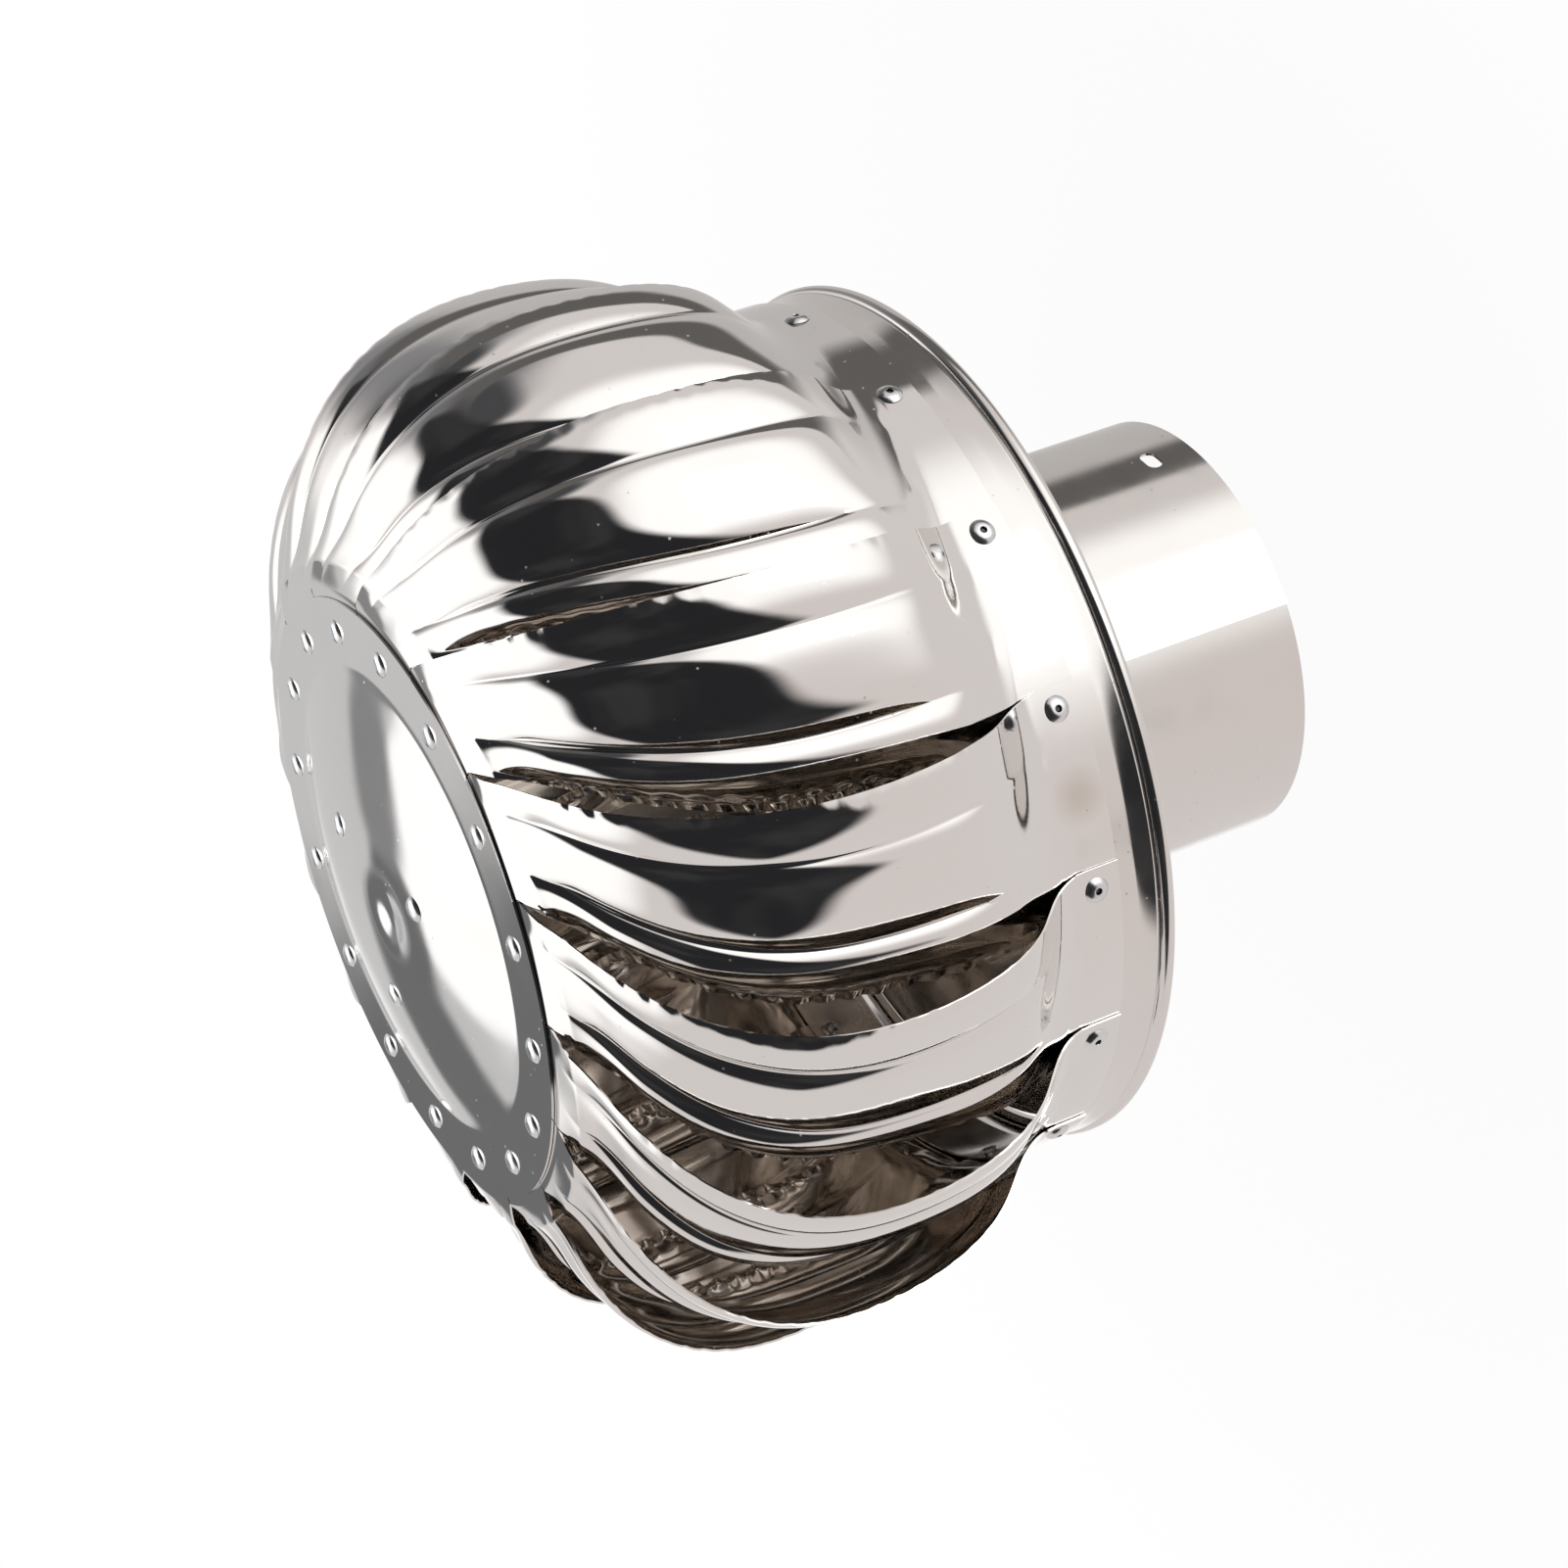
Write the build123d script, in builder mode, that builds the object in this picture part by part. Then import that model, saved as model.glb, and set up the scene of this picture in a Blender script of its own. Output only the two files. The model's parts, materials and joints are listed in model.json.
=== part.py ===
"""Roof turbine ventilator for a 110 mm vent pipe, built as separate pieces.

Millimetres. +Z is up and is the spin axis. The origin is the centre of the
open lower end of the neck, the end that slips over the pipe.
"""
from build123d import *
import math
import os

os.makedirs("parts", exist_ok=True)

# ---------------------------------------------------------------- sizes (mm)
# sheet metal
sheet = 0.6
blade_sheet = 0.5
lap_gap = 0.15

# neck
neck_radius = 56.0
neck_height = 92.0
stop_bead_height = 63.0
stop_bead_depth = 1.2
stop_bead_length = 5.0
seam_angle = -153.5
seam_width = 7.0
slot_count = 2
slot_angle = -104.2
slot_height = 12.2
slot_length = 7.0
slot_width = 4.2

# head
blade_count = 16
head_radius = 136.0
head_crown_height = 158.0
ring_radius = 112.2
ring_bottom_height = 78.3
ring_top_height = 104.0
ring_bead_radius = 2.1
tab_bottom_height = 93.0
tab_rivet_height = 99.5
cap_radius = 77.0
cap_rim_width = 17.0
cap_height = 225.9
dome_rise = 8.6
cap_rivet_edge = 8.5
dome_rivet_radius = 25.5
dome_rivet_count = 3
dome_rivet_angle = -38.8

# blade form; outline points are shares of the bulge and of the height
lower_outline = ((0.50, 0.305), (0.87, 0.63))
upper_outline = ((0.92, 0.45), (0.73, 0.69), (0.42, 0.87), (0.16, 0.96))
blade_depth = 18.0
blade_rib = 2.0
blade_rib_half_width = 0.085
blade_rib_places = (0.25, 0.77)
blade_sweep = 17.8
blade_bow = 3.4
ring_tab_overlap = 5.0
ring_tab_margin = 2.8
cap_tab_gap = 0.35
body_rows = 12
blade_columns = 15

# fixed skirt below the head
skirt_gap = 1.7
skirt_edge_height = 81.0
skirt_edge_width = 2.0
skirt_collar_height = 10.0
skirt_rivet_height = 86.0

# pop rivets
rivet_shank = 1.6
rivet_hole = 1.65
rivet_head = 3.2
rivet_head_height = 1.1
rivet_tail = 2.4
rivet_tail_height = 1.0
rivet_seat = 0.06
mandrel_hole = 0.9

# shaft and its straps
shaft_radius = 4.0
shaft_bottom = 72.0
strap_width = 20.0
strap_thickness = 2.0
strap_foot = 16.0
strap_height = 86.0
strap_angle = -108.5
strap_rivet_height = 76.0
nut_flats = 13.0
nut_height = 6.5
thin_nut_height = 4.0
washer_radius = 8.0
washer_thickness = 1.5
thread_play = 0.03

# two deep-groove ball bearings, 8 x 22 x 7
bearing_radius = 11.0
bearing_width = 7.0
inner_race_radius = 5.9
outer_race_radius = 9.1
ball_radius = 1.9
ball_count = 7
ball_play = 0.08
cage_thickness = 0.8
cage_height = 5.4
bearing_spacing = 13.0
race_play = 0.02
housing_wall = 2.0
housing_lip = 1.5
housing_bottom = 198.0
flange_radius = 34.0
flange_thickness = 1.5
circlip_thickness = 1.2
circlip_depth = 0.6
circlip_width = 1.8
circlip_opening = 30.0
race_washer = 1.0
shaft_end = 0.5

# ------------------------------------------------------------ derived places
pitch = 360 / blade_count
blade_angles = [number * pitch for number in range(blade_count)]
neck_inner_radius = neck_radius - sheet
collar_radius = neck_radius + lap_gap
skirt_radius = ring_radius - ring_bead_radius - skirt_gap
cap_under = cap_height - sheet
cap_flat_inner = cap_radius - cap_rim_width
cap_rivet_radius = cap_radius - cap_rivet_edge
shingle = blade_sheet + lap_gap
tab_span = pitch + ring_tab_overlap
tab_depth = shingle * tab_span / pitch
tab_mid_radius = ring_radius + lap_gap + blade_sheet / 2 + tab_depth
cap_tab_height = cap_under - lap_gap - blade_sheet / 2
cap_tab_inner = cap_flat_inner + 2.0
cap_tab_outer = cap_radius + 2.0
backing_top = cap_tab_height - blade_sheet / 2 - lap_gap
dome_radius = (cap_flat_inner**2 + dome_rise**2) / (2 * dome_rise)
dome_centre = cap_height + dome_rise - dome_radius
lower_bearing = housing_bottom + housing_lip
upper_bearing = lower_bearing + bearing_width + bearing_spacing
bearing_top = upper_bearing + bearing_width
race_centre = (inner_race_radius + outer_race_radius) / 2
shaft_top = bearing_top + race_washer + thin_nut_height + shaft_end
foot_radius = neck_inner_radius - lap_gap
foot_count = 4
foot_step = 360 / foot_count
ring_stack = ring_radius + lap_gap + shingle * (tab_span - ring_tab_margin) / pitch + blade_sheet


def dome_height(radius, offset=0.0):
    """Height of the dome at a radius, moved inward by offset."""
    return dome_centre + math.sqrt((dome_radius - offset) ** 2 - radius**2)


def radial_plane(angle, radius, height):
    """Plane on a drum's side at an angle: x runs round, z points outward."""
    turn = math.radians(angle)
    outward = Vector(math.cos(turn), math.sin(turn), 0)
    around = Vector(-math.sin(turn), math.cos(turn), 0)
    return Plane(origin=outward * radius + Vector(0, 0, height), x_dir=around, z_dir=outward)


def save(solid, name):
    """Name a finished piece and write its STEP file."""
    solid.label = name
    export_step(solid, "parts/" + name + ".step")


# ---------------------------------------------------------------- neck tube
# A rolled tube with a lap seam, a rolled-in pipe stop and fixing slots.
with BuildPart() as neck_tube:
    with BuildSketch(Plane.XZ):
        with BuildLine():
            stop_low = stop_bead_height - stop_bead_length
            stop_mid = stop_bead_height - stop_bead_length / 2
            lower_wall = Line((neck_radius, 0), (neck_radius, stop_low))
            stop_outer = ThreePointArc(
                lower_wall @ 1,
                (neck_radius - stop_bead_depth, stop_mid),
                (neck_radius, stop_bead_height),
            )
            upper_wall = Polyline(
                stop_outer @ 1,
                (neck_radius, neck_height),
                (neck_inner_radius, neck_height),
                (neck_inner_radius, stop_bead_height),
            )
            stop_inner = ThreePointArc(
                upper_wall @ 1,
                (neck_inner_radius - stop_bead_depth, stop_mid),
                (neck_inner_radius, stop_low),
            )
            Polyline(stop_inner @ 1, (neck_inner_radius, 0), lower_wall @ 0)
        make_face()
    revolve(axis=Axis.Z)
    # second layer of the lap seam, outside the tube
    with BuildSketch(Plane.XY):
        Circle(neck_radius + sheet)
        Circle(neck_radius - sheet / 2, mode=Mode.SUBTRACT)
        with Locations(Rotation(0, 0, seam_angle) * Location((neck_radius, 0))):
            Rectangle(4 * sheet, seam_width, mode=Mode.INTERSECT)
    extrude(amount=stop_low)
    for number in range(slot_count):
        slot_turn = slot_angle + number * 360 / slot_count
        with BuildSketch(radial_plane(slot_turn, neck_radius, slot_height)):
            SlotOverall(slot_length, slot_width)
        extrude(amount=3 * sheet, both=True, mode=Mode.SUBTRACT)
    for number in range(foot_count):
        strap_turn = strap_angle + number * foot_step
        with BuildSketch(radial_plane(strap_turn, neck_radius, strap_rivet_height)):
            Circle(rivet_hole)
        extrude(amount=3 * sheet, both=True, mode=Mode.SUBTRACT)
        skirt_turn = strap_turn + foot_step / 2
        with BuildSketch(radial_plane(skirt_turn, neck_radius, skirt_rivet_height)):
            Circle(rivet_hole)
        extrude(amount=3 * sheet, both=True, mode=Mode.SUBTRACT)
save(neck_tube.part, "neck_tube")

# ------------------------------------------------------------- fixed skirt
# A spun cone on the neck; water leaves by the gap under the rotor's ring.
with BuildPart() as base_skirt:
    with BuildSketch(Plane.XZ):
        with BuildLine():
            Polyline(
                (collar_radius, neck_height - skirt_collar_height),
                (collar_radius + sheet, neck_height - skirt_collar_height),
                (collar_radius + sheet, neck_height - sheet),
                (skirt_radius - skirt_edge_width, skirt_edge_height),
                (skirt_radius, skirt_edge_height),
                (skirt_radius, skirt_edge_height + sheet),
                (skirt_radius - skirt_edge_width, skirt_edge_height + sheet),
                (collar_radius + sheet, neck_height),
                (collar_radius, neck_height),
                close=True,
            )
        make_face()
    revolve(axis=Axis.Z)
    for number in range(foot_count):
        skirt_turn = strap_angle + (number + 0.5) * foot_step
        with BuildSketch(radial_plane(skirt_turn, collar_radius, skirt_rivet_height)):
            Circle(rivet_hole)
        extrude(amount=3 * sheet, both=True, mode=Mode.SUBTRACT)
save(base_skirt.part, "base_skirt")


# ------------------------------------------------------------ shaft straps
def build_strap(turn, top):
    """Bar across the neck with two curved feet turned down against its wall."""
    with BuildPart() as strap:
        with BuildSketch(Plane.XY.offset(top)):
            Circle(foot_radius)
            with Locations(Rotation(0, 0, turn)):
                Rectangle(3 * foot_radius, strap_width, mode=Mode.INTERSECT)
            Circle(shaft_radius + thread_play, mode=Mode.SUBTRACT)
        extrude(amount=-strap_thickness)
        with BuildSketch(Plane.XY.offset(top)):
            Circle(foot_radius)
            Circle(foot_radius - strap_thickness, mode=Mode.SUBTRACT)
            with Locations(Rotation(0, 0, turn)):
                Rectangle(3 * foot_radius, strap_width, mode=Mode.INTERSECT)
        extrude(amount=strap_height - strap_foot - top)
        for side in (0, 180):
            with BuildSketch(radial_plane(turn + side, foot_radius, strap_rivet_height)):
                Circle(rivet_hole)
            extrude(amount=2 * strap_thickness, both=True, mode=Mode.SUBTRACT)
    return strap.part


save(build_strap(strap_angle, strap_height + strap_thickness), "upper_strap")
save(build_strap(strap_angle + 90, strap_height), "lower_strap")


# -------------------------------------------------------------------- rivets
def build_rivets(planes, grip):
    """Pop rivets, one solid on each plane; z of a plane leaves the head side."""
    head = rivet_head
    rise = rivet_head_height
    with BuildPart() as rivets:
        for plane in planes:
            with BuildSketch(Plane(origin=plane.origin, x_dir=plane.x_dir, z_dir=-plane.y_dir)):
                with BuildLine():
                    seat = Line((0, 0), (head, 0))
                    crown = ThreePointArc(
                        seat @ 1,
                        (head * 0.72, rise * 0.72),
                        (mandrel_hole, rise),
                    )
                    bore = Polyline(crown @ 1, (mandrel_hole, rise / 2), (0, rise / 2), (0, 0))
                make_face()
                with BuildLine():
                    Polyline(
                        (0, rise / 4),
                        (rivet_shank, rise / 4),
                        (rivet_shank, -grip),
                        (rivet_tail, -grip),
                        (rivet_tail * 0.8, -grip - rivet_tail_height),
                        (0, -grip - rivet_tail_height),
                        close=True,
                    )
                make_face()
            revolve(axis=Axis(plane.origin, plane.z_dir))
    return rivets.part


strap_planes = [
    radial_plane(
        strap_angle + number * foot_step,
        neck_radius + rivet_seat,
        strap_rivet_height,
    )
    for number in range(foot_count)
]
strap_grip = neck_radius + rivet_seat - foot_radius + strap_thickness + rivet_seat
save(build_rivets(strap_planes, strap_grip), "strap_rivets")
skirt_planes = [
    radial_plane(
        strap_angle + (number + 0.5) * foot_step,
        collar_radius + sheet + rivet_seat,
        skirt_rivet_height,
    )
    for number in range(foot_count)
]
skirt_grip = lap_gap + 2 * sheet + 2 * rivet_seat
save(build_rivets(skirt_planes, skirt_grip), "skirt_rivets")
ring_planes = [
    radial_plane(angle, ring_stack + rivet_seat, tab_rivet_height) for angle in blade_angles
]
ring_grip = ring_stack + 2 * rivet_seat - ring_radius + sheet
save(build_rivets(ring_planes, ring_grip), "ring_rivets")
cap_planes = [
    Plane(
        origin=Vector(cap_rivet_radius, 0, cap_height + rivet_seat).rotate(Axis.Z, angle + pitch / 2),
        x_dir=Vector(1, 0, 0),
        z_dir=Vector(0, 0, 1),
    )
    for angle in blade_angles
]
cap_grip = cap_height + 2 * rivet_seat - backing_top + sheet
save(build_rivets(cap_planes, cap_grip), "cap_rivets")


# -------------------------------------------------------------------- shaft
with BuildPart() as centre_shaft:
    with BuildSketch(Plane.XY.offset(shaft_bottom)):
        Circle(shaft_radius)
    extrude(amount=shaft_top - shaft_bottom)
    chamfer(centre_shaft.faces().sort_by(Axis.Z)[-1].edges(), shaft_end)
    chamfer(centre_shaft.faces().sort_by(Axis.Z)[0].edges(), shaft_end)
save(centre_shaft.part, "centre_shaft")


def build_nut(bottom, height):
    """Hexagon nut on the shaft."""
    with BuildPart() as nut:
        with BuildSketch(Plane.XY.offset(bottom)):
            RegularPolygon(nut_flats / 2, 6, major_radius=False)
            Circle(shaft_radius + thread_play, mode=Mode.SUBTRACT)
        extrude(amount=height)
    return nut.part


def build_washer(bottom, outer, inner, height):
    """Plain ring round the shaft."""
    with BuildPart() as washer:
        with BuildSketch(Plane.XY.offset(bottom)):
            Circle(outer)
            Circle(inner, mode=Mode.SUBTRACT)
        extrude(amount=height)
    return washer.part


shaft_hole = shaft_radius + thread_play
strap_top = strap_height + strap_thickness
strap_bottom = strap_height - strap_thickness
save(build_washer(strap_top, washer_radius, shaft_hole, washer_thickness), "upper_strap_washer")
save(build_nut(strap_top + washer_thickness, nut_height), "upper_strap_nut")
save(
    build_washer(strap_bottom - washer_thickness, washer_radius, shaft_hole, washer_thickness),
    "lower_strap_washer",
)
save(build_nut(strap_bottom - washer_thickness - nut_height, nut_height), "lower_strap_nut")
save(build_nut(lower_bearing - race_washer - nut_height, nut_height), "bearing_seat_nut")
save(
    build_washer(lower_bearing - race_washer, inner_race_radius, shaft_hole, race_washer),
    "bearing_seat_washer",
)
save(build_washer(bearing_top, inner_race_radius, shaft_hole, race_washer), "bearing_top_washer")
save(build_nut(bearing_top + race_washer, thin_nut_height), "bearing_lock_nut")
save(
    build_washer(lower_bearing + bearing_width, inner_race_radius, shaft_hole, bearing_spacing),
    "inner_spacer",
)
save(
    build_washer(
        lower_bearing + bearing_width,
        bearing_radius - race_play,
        outer_race_radius,
        bearing_spacing,
    ),
    "outer_spacer",
)


# ----------------------------------------------------------------- bearings
def build_race(bottom, inner, outer):
    """Race of a ball bearing with the ball groove turned into it."""
    with BuildPart() as race:
        with BuildSketch(Plane.XZ):
            with Locations(((inner + outer) / 2, bottom + bearing_width / 2)):
                Rectangle(outer - inner, bearing_width)
            with Locations((race_centre, bottom + bearing_width / 2)):
                Circle(ball_radius + ball_play, mode=Mode.SUBTRACT)
        revolve(axis=Axis.Z)
    return race.part


def build_cage(bottom):
    """Ring with a round pocket for each ball."""
    middle = bottom + bearing_width / 2
    with BuildPart() as cage:
        with BuildSketch(Plane.XY.offset(middle - cage_height / 2)):
            Circle(race_centre + cage_thickness / 2)
            Circle(race_centre - cage_thickness / 2, mode=Mode.SUBTRACT)
        extrude(amount=cage_height)
        for number in range(ball_count):
            with BuildSketch(radial_plane(number * 360 / ball_count, race_centre, middle)):
                Circle(ball_radius + ball_play)
            extrude(amount=2 * cage_thickness, both=True, mode=Mode.SUBTRACT)
    return cage.part


def build_balls(bottom):
    """The bearing's balls, one solid each."""
    with BuildPart() as balls:
        with Locations((0, 0, bottom + bearing_width / 2)):
            with PolarLocations(race_centre, ball_count):
                Sphere(ball_radius)
    return balls.part


for place, bottom in (("lower", lower_bearing), ("upper", upper_bearing)):
    save(build_race(bottom, shaft_hole, inner_race_radius), place + "_inner_race")
    save(build_race(bottom, outer_race_radius, bearing_radius - race_play), place + "_outer_race")
    save(build_cage(bottom), place + "_bearing_cage")
    save(build_balls(bottom), place + "_bearing_balls")

# rivets through dome and housing flange, square to the dome
dome_tilt = math.degrees(math.asin(dome_rivet_radius / dome_radius))
dome_planes = []
for number in range(dome_rivet_count):
    dome_turn = math.radians(dome_rivet_angle + number * 360 / dome_rivet_count)
    lean = Vector(
        math.sin(math.radians(dome_tilt)) * math.cos(dome_turn),
        math.sin(math.radians(dome_tilt)) * math.sin(dome_turn),
        math.cos(math.radians(dome_tilt)),
    )
    around = Vector(-math.sin(dome_turn), math.cos(dome_turn), 0)
    seat = Vector(0, 0, dome_centre) + lean * (dome_radius + rivet_seat)
    dome_planes.append(Plane(origin=seat, x_dir=around, z_dir=lean))

# ----------------------------------------------------------- bearing housing
# A flanged cup riveted under the dome; its lip carries the lower bearing.
flange_offset = sheet + race_play
flange_under = flange_offset + flange_thickness
tube_outer = bearing_radius + housing_wall
with BuildPart() as bearing_housing:
    with BuildSketch(Plane.XZ):
        with BuildLine():
            tube = Polyline(
                (outer_race_radius, housing_bottom),
                (tube_outer, housing_bottom),
                (tube_outer, dome_height(tube_outer, flange_under)),
            )
            under = ThreePointArc(
                tube @ 1,
                (dome_rivet_radius, dome_height(dome_rivet_radius, flange_under)),
                (flange_radius, dome_height(flange_radius, flange_under)),
            )
            edge = Line(
                under @ 1,
                (flange_radius, dome_height(flange_radius, flange_offset)),
            )
            over = ThreePointArc(
                edge @ 1,
                (dome_rivet_radius, dome_height(dome_rivet_radius, flange_offset)),
                (bearing_radius, dome_height(bearing_radius, flange_offset)),
            )
            Polyline(
                over @ 1,
                (bearing_radius, lower_bearing),
                (outer_race_radius, lower_bearing),
                tube @ 0,
            )
        make_face()
        with Locations((bearing_radius, bearing_top + circlip_thickness / 2 + race_play)):
            Rectangle(
                2 * circlip_depth,
                circlip_thickness + 2 * race_play,
                mode=Mode.SUBTRACT,
            )
    revolve(axis=Axis.Z)
    for dome_plane in dome_planes:
        with BuildSketch(dome_plane):
            Circle(rivet_hole)
        extrude(amount=3 * flange_thickness, both=True, mode=Mode.SUBTRACT)
save(bearing_housing.part, "bearing_housing")
save(build_rivets(dome_planes, flange_under + 2 * rivet_seat), "dome_rivets")

# circlip above the upper bearing
circlip_bottom = bearing_top + race_play
with BuildPart() as circlip:
    with BuildSketch(Plane.XY.offset(circlip_bottom)):
        Circle(bearing_radius + circlip_depth - race_play)
        Circle(bearing_radius + circlip_depth - circlip_width, mode=Mode.SUBTRACT)
        with BuildLine():
            reach = 2 * bearing_radius
            swing = math.radians(circlip_opening / 2)
            Polyline(
                (0, 0),
                (reach, reach * math.tan(swing)),
                (reach, -reach * math.tan(swing)),
                close=True,
            )
        make_face(mode=Mode.SUBTRACT)
    extrude(amount=circlip_thickness)
save(circlip.part, "circlip")

# ----------------------------------------------------------------- top cap
cap_inner_arc = math.sqrt((dome_radius - sheet) ** 2 - (cap_under - dome_centre) ** 2)
with BuildPart() as top_cap:
    with BuildSketch(Plane.XZ):
        with BuildLine():
            dome_outer = ThreePointArc(
                (0, dome_height(0)),
                (cap_flat_inner / 2, dome_height(cap_flat_inner / 2)),
                (cap_flat_inner, cap_height),
            )
            rim = Polyline(
                dome_outer @ 1,
                (cap_radius, cap_height),
                (cap_radius, cap_under),
                (cap_inner_arc, cap_under),
            )
            dome_inner = ThreePointArc(
                rim @ 1,
                (cap_inner_arc / 2, dome_height(cap_inner_arc / 2, sheet)),
                (0, dome_height(0, sheet)),
            )
            Line(dome_inner @ 1, dome_outer @ 0)
        make_face()
    revolve(axis=Axis.Z)
    with PolarLocations(cap_rivet_radius, blade_count, start_angle=pitch / 2):
        with Locations((0, 0, cap_height)):
            Cylinder(rivet_hole, 4 * sheet, mode=Mode.SUBTRACT)
    for dome_plane in dome_planes:
        with BuildSketch(dome_plane):
            Circle(rivet_hole)
        extrude(amount=3 * sheet, both=True, mode=Mode.SUBTRACT)
save(top_cap.part, "top_cap")

# ring under the blades' upper tabs
with BuildPart() as backing_ring:
    with BuildSketch(Plane.XY.offset(backing_top)):
        Circle(cap_radius - 0.5)
        Circle(cap_flat_inner + 0.5, mode=Mode.SUBTRACT)
        with PolarLocations(cap_rivet_radius, blade_count, start_angle=pitch / 2):
            Circle(rivet_hole, mode=Mode.SUBTRACT)
    extrude(amount=-sheet)
save(backing_ring.part, "cap_backing_ring")

# ------------------------------------------------------------- rotor's ring
# A drum band with a cove and a rolled bead along its lower edge.
bead_centre = ring_bottom_height + ring_bead_radius
ring_inner = ring_radius - sheet
with BuildPart() as base_ring:
    with BuildSketch(Plane.XZ):
        with BuildLine():
            band = Polyline(
                (ring_inner, bead_centre),
                (ring_inner, ring_top_height),
                (ring_radius, ring_top_height),
                (ring_radius, bead_centre + 4 * ring_bead_radius),
            )
            cove = Spline(
                band @ 1,
                (ring_radius + ring_bead_radius * 0.75, bead_centre + 1.4 * ring_bead_radius),
                (ring_radius + ring_bead_radius, bead_centre),
                tangents=((0, -1), (0, -1)),
            )
            Line(cove @ 1, band @ 0)
        make_face()
        with Locations((ring_radius, bead_centre)):
            Circle(ring_bead_radius)
    revolve(axis=Axis.Z)
    for angle in blade_angles:
        with BuildSketch(radial_plane(angle, ring_radius, tab_rivet_height)):
            Circle(rivet_hole)
        extrude(amount=3 * sheet, both=True, mode=Mode.SUBTRACT)
save(base_ring.part, "base_ring")

# -------------------------------------------------------------------- blades
# Each blade is one pressed sheet: a tab on the ring, a bellied panel with two
# ribs, and a flat tab under the cap. Its free edge stands out, its other edge
# dives under the next blade.
bulge = head_radius - tab_mid_radius
overhang = head_radius - cap_tab_outer
lower_rise = head_crown_height - ring_top_height
upper_rise = cap_tab_height - head_crown_height
lower_points = [
    (tab_mid_radius + out * bulge, ring_top_height + up * lower_rise) for out, up in lower_outline
]
upper_points = [
    (cap_tab_outer + out * overhang, head_crown_height + up * upper_rise)
    for out, up in upper_outline
]
with BuildLine(Plane.XZ):
    meridian = Spline(
        (tab_mid_radius, ring_top_height),
        *lower_points,
        (head_radius, head_crown_height),
        *upper_points,
        (cap_tab_outer, cap_tab_height),
        tangents=((0, 1), (-1, 0)),
    )
marks = [column / (blade_columns - 1) for column in range(blade_columns)]


def blade_station(share):
    """Place of one cross-section: point, rise, lead, span, depth and rib height."""
    lead = blade_sweep * share**4.5 - blade_bow * math.sin(math.pi * share**0.8)
    span = pitch - cap_tab_gap + (ring_tab_overlap + cap_tab_gap) * (1 - share) ** 3
    depth = tab_depth * (1 - share) + blade_depth * math.sin(math.pi * share**0.85) ** 1.3
    rib = blade_rib * math.sin(math.pi * share) ** 0.7
    return meridian @ share, (meridian % share).normalized(), lead, span, depth, rib


def blade_outline(radius, lean, span, depth, rib):
    """Middle line of the sheet across one section, inner edge first."""
    width = radius * math.radians(span)
    points = []
    for mark in marks:
        along = width * (mark - 0.5)
        dip = depth * (1 - mark)
        for place in blade_rib_places:
            dip -= rib * math.exp(-(((mark - place) / blade_rib_half_width) ** 2))
        if lean > 0.01:
            bend = along * lean / radius
            dip += (1 - math.cos(bend)) * radius / lean
            along = math.sin(bend) * radius / lean
        points.append(Vector(along, dip))
    return points


def side_line(points, offset):
    """The same line moved square to itself by offset."""
    moved = []
    for index, point in enumerate(points):
        ahead = points[min(index + 1, len(points) - 1)]
        behind = points[max(index - 1, 0)]
        run = (ahead - behind).normalized()
        moved.append(point + Vector(-run.Y, run.X) * offset)
    return moved


def blade_section(share):
    """Cross-section of the sheet, square to the meridian."""
    middle, rise, lead, span, depth, rib = blade_station(share)
    turn = ring_tab_margin + lead - span / 2
    section_plane = Plane(
        origin=middle.rotate(Axis.Z, turn),
        x_dir=Vector(0, 1, 0).rotate(Axis.Z, turn),
        z_dir=rise.rotate(Axis.Z, turn),
    )
    outline = blade_outline(middle.X, rise.Z, span, depth, rib)
    with BuildSketch(section_plane) as section:
        with BuildLine():
            inside = Spline(*side_line(outline, blade_sheet / 2))
            outside = Spline(*side_line(outline, -blade_sheet / 2))
            Line(inside @ 0, outside @ 0)
            Line(inside @ 1, outside @ 1)
        make_face()
    return section.sketch


def build_blade():
    """The blade whose ring rivet stands at angle zero."""
    cap_span = math.radians(pitch - cap_tab_gap)
    cap_turn = ring_tab_margin + blade_sweep - (pitch - cap_tab_gap) / 2
    with BuildPart() as blade:
        loft(sections=[blade_section(step / body_rows) for step in range(body_rows + 1)])
        extrude(blade_section(0), amount=tab_bottom_height - ring_top_height)
        with BuildSketch(
            Plane(
                origin=(0, 0, cap_tab_height - blade_sheet / 2),
                x_dir=Vector(1, 0, 0).rotate(Axis.Z, cap_turn),
                z_dir=(0, 0, 1),
            )
        ):
            with BuildLine():
                Polyline(
                    (cap_tab_outer + lap_gap, cap_tab_outer * cap_span / 2),
                    (cap_tab_inner, cap_tab_inner * cap_span / 2),
                    (cap_tab_inner, -cap_tab_inner * cap_span / 2),
                    (cap_tab_outer + lap_gap, -cap_tab_outer * cap_span / 2),
                    close=True,
                )
            make_face()
        extrude(amount=blade_sheet)
        for turn in (0, -pitch):
            with BuildSketch(radial_plane(turn, tab_mid_radius, tab_rivet_height)):
                Circle(rivet_hole)
            extrude(amount=4 * blade_sheet, both=True, mode=Mode.SUBTRACT)
        with Locations(Rotation(0, 0, pitch / 2)):
            with Locations((cap_rivet_radius, 0, cap_tab_height)):
                Cylinder(rivet_hole, 4 * blade_sheet, mode=Mode.SUBTRACT)
    return blade.part


first_blade = build_blade()
for number, angle in enumerate(blade_angles):
    with BuildPart() as placed_blade:
        with Locations(Rotation(0, 0, angle)):
            add(first_blade)
    save(placed_blade.part, f"blade_{number + 1:02d}")
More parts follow.
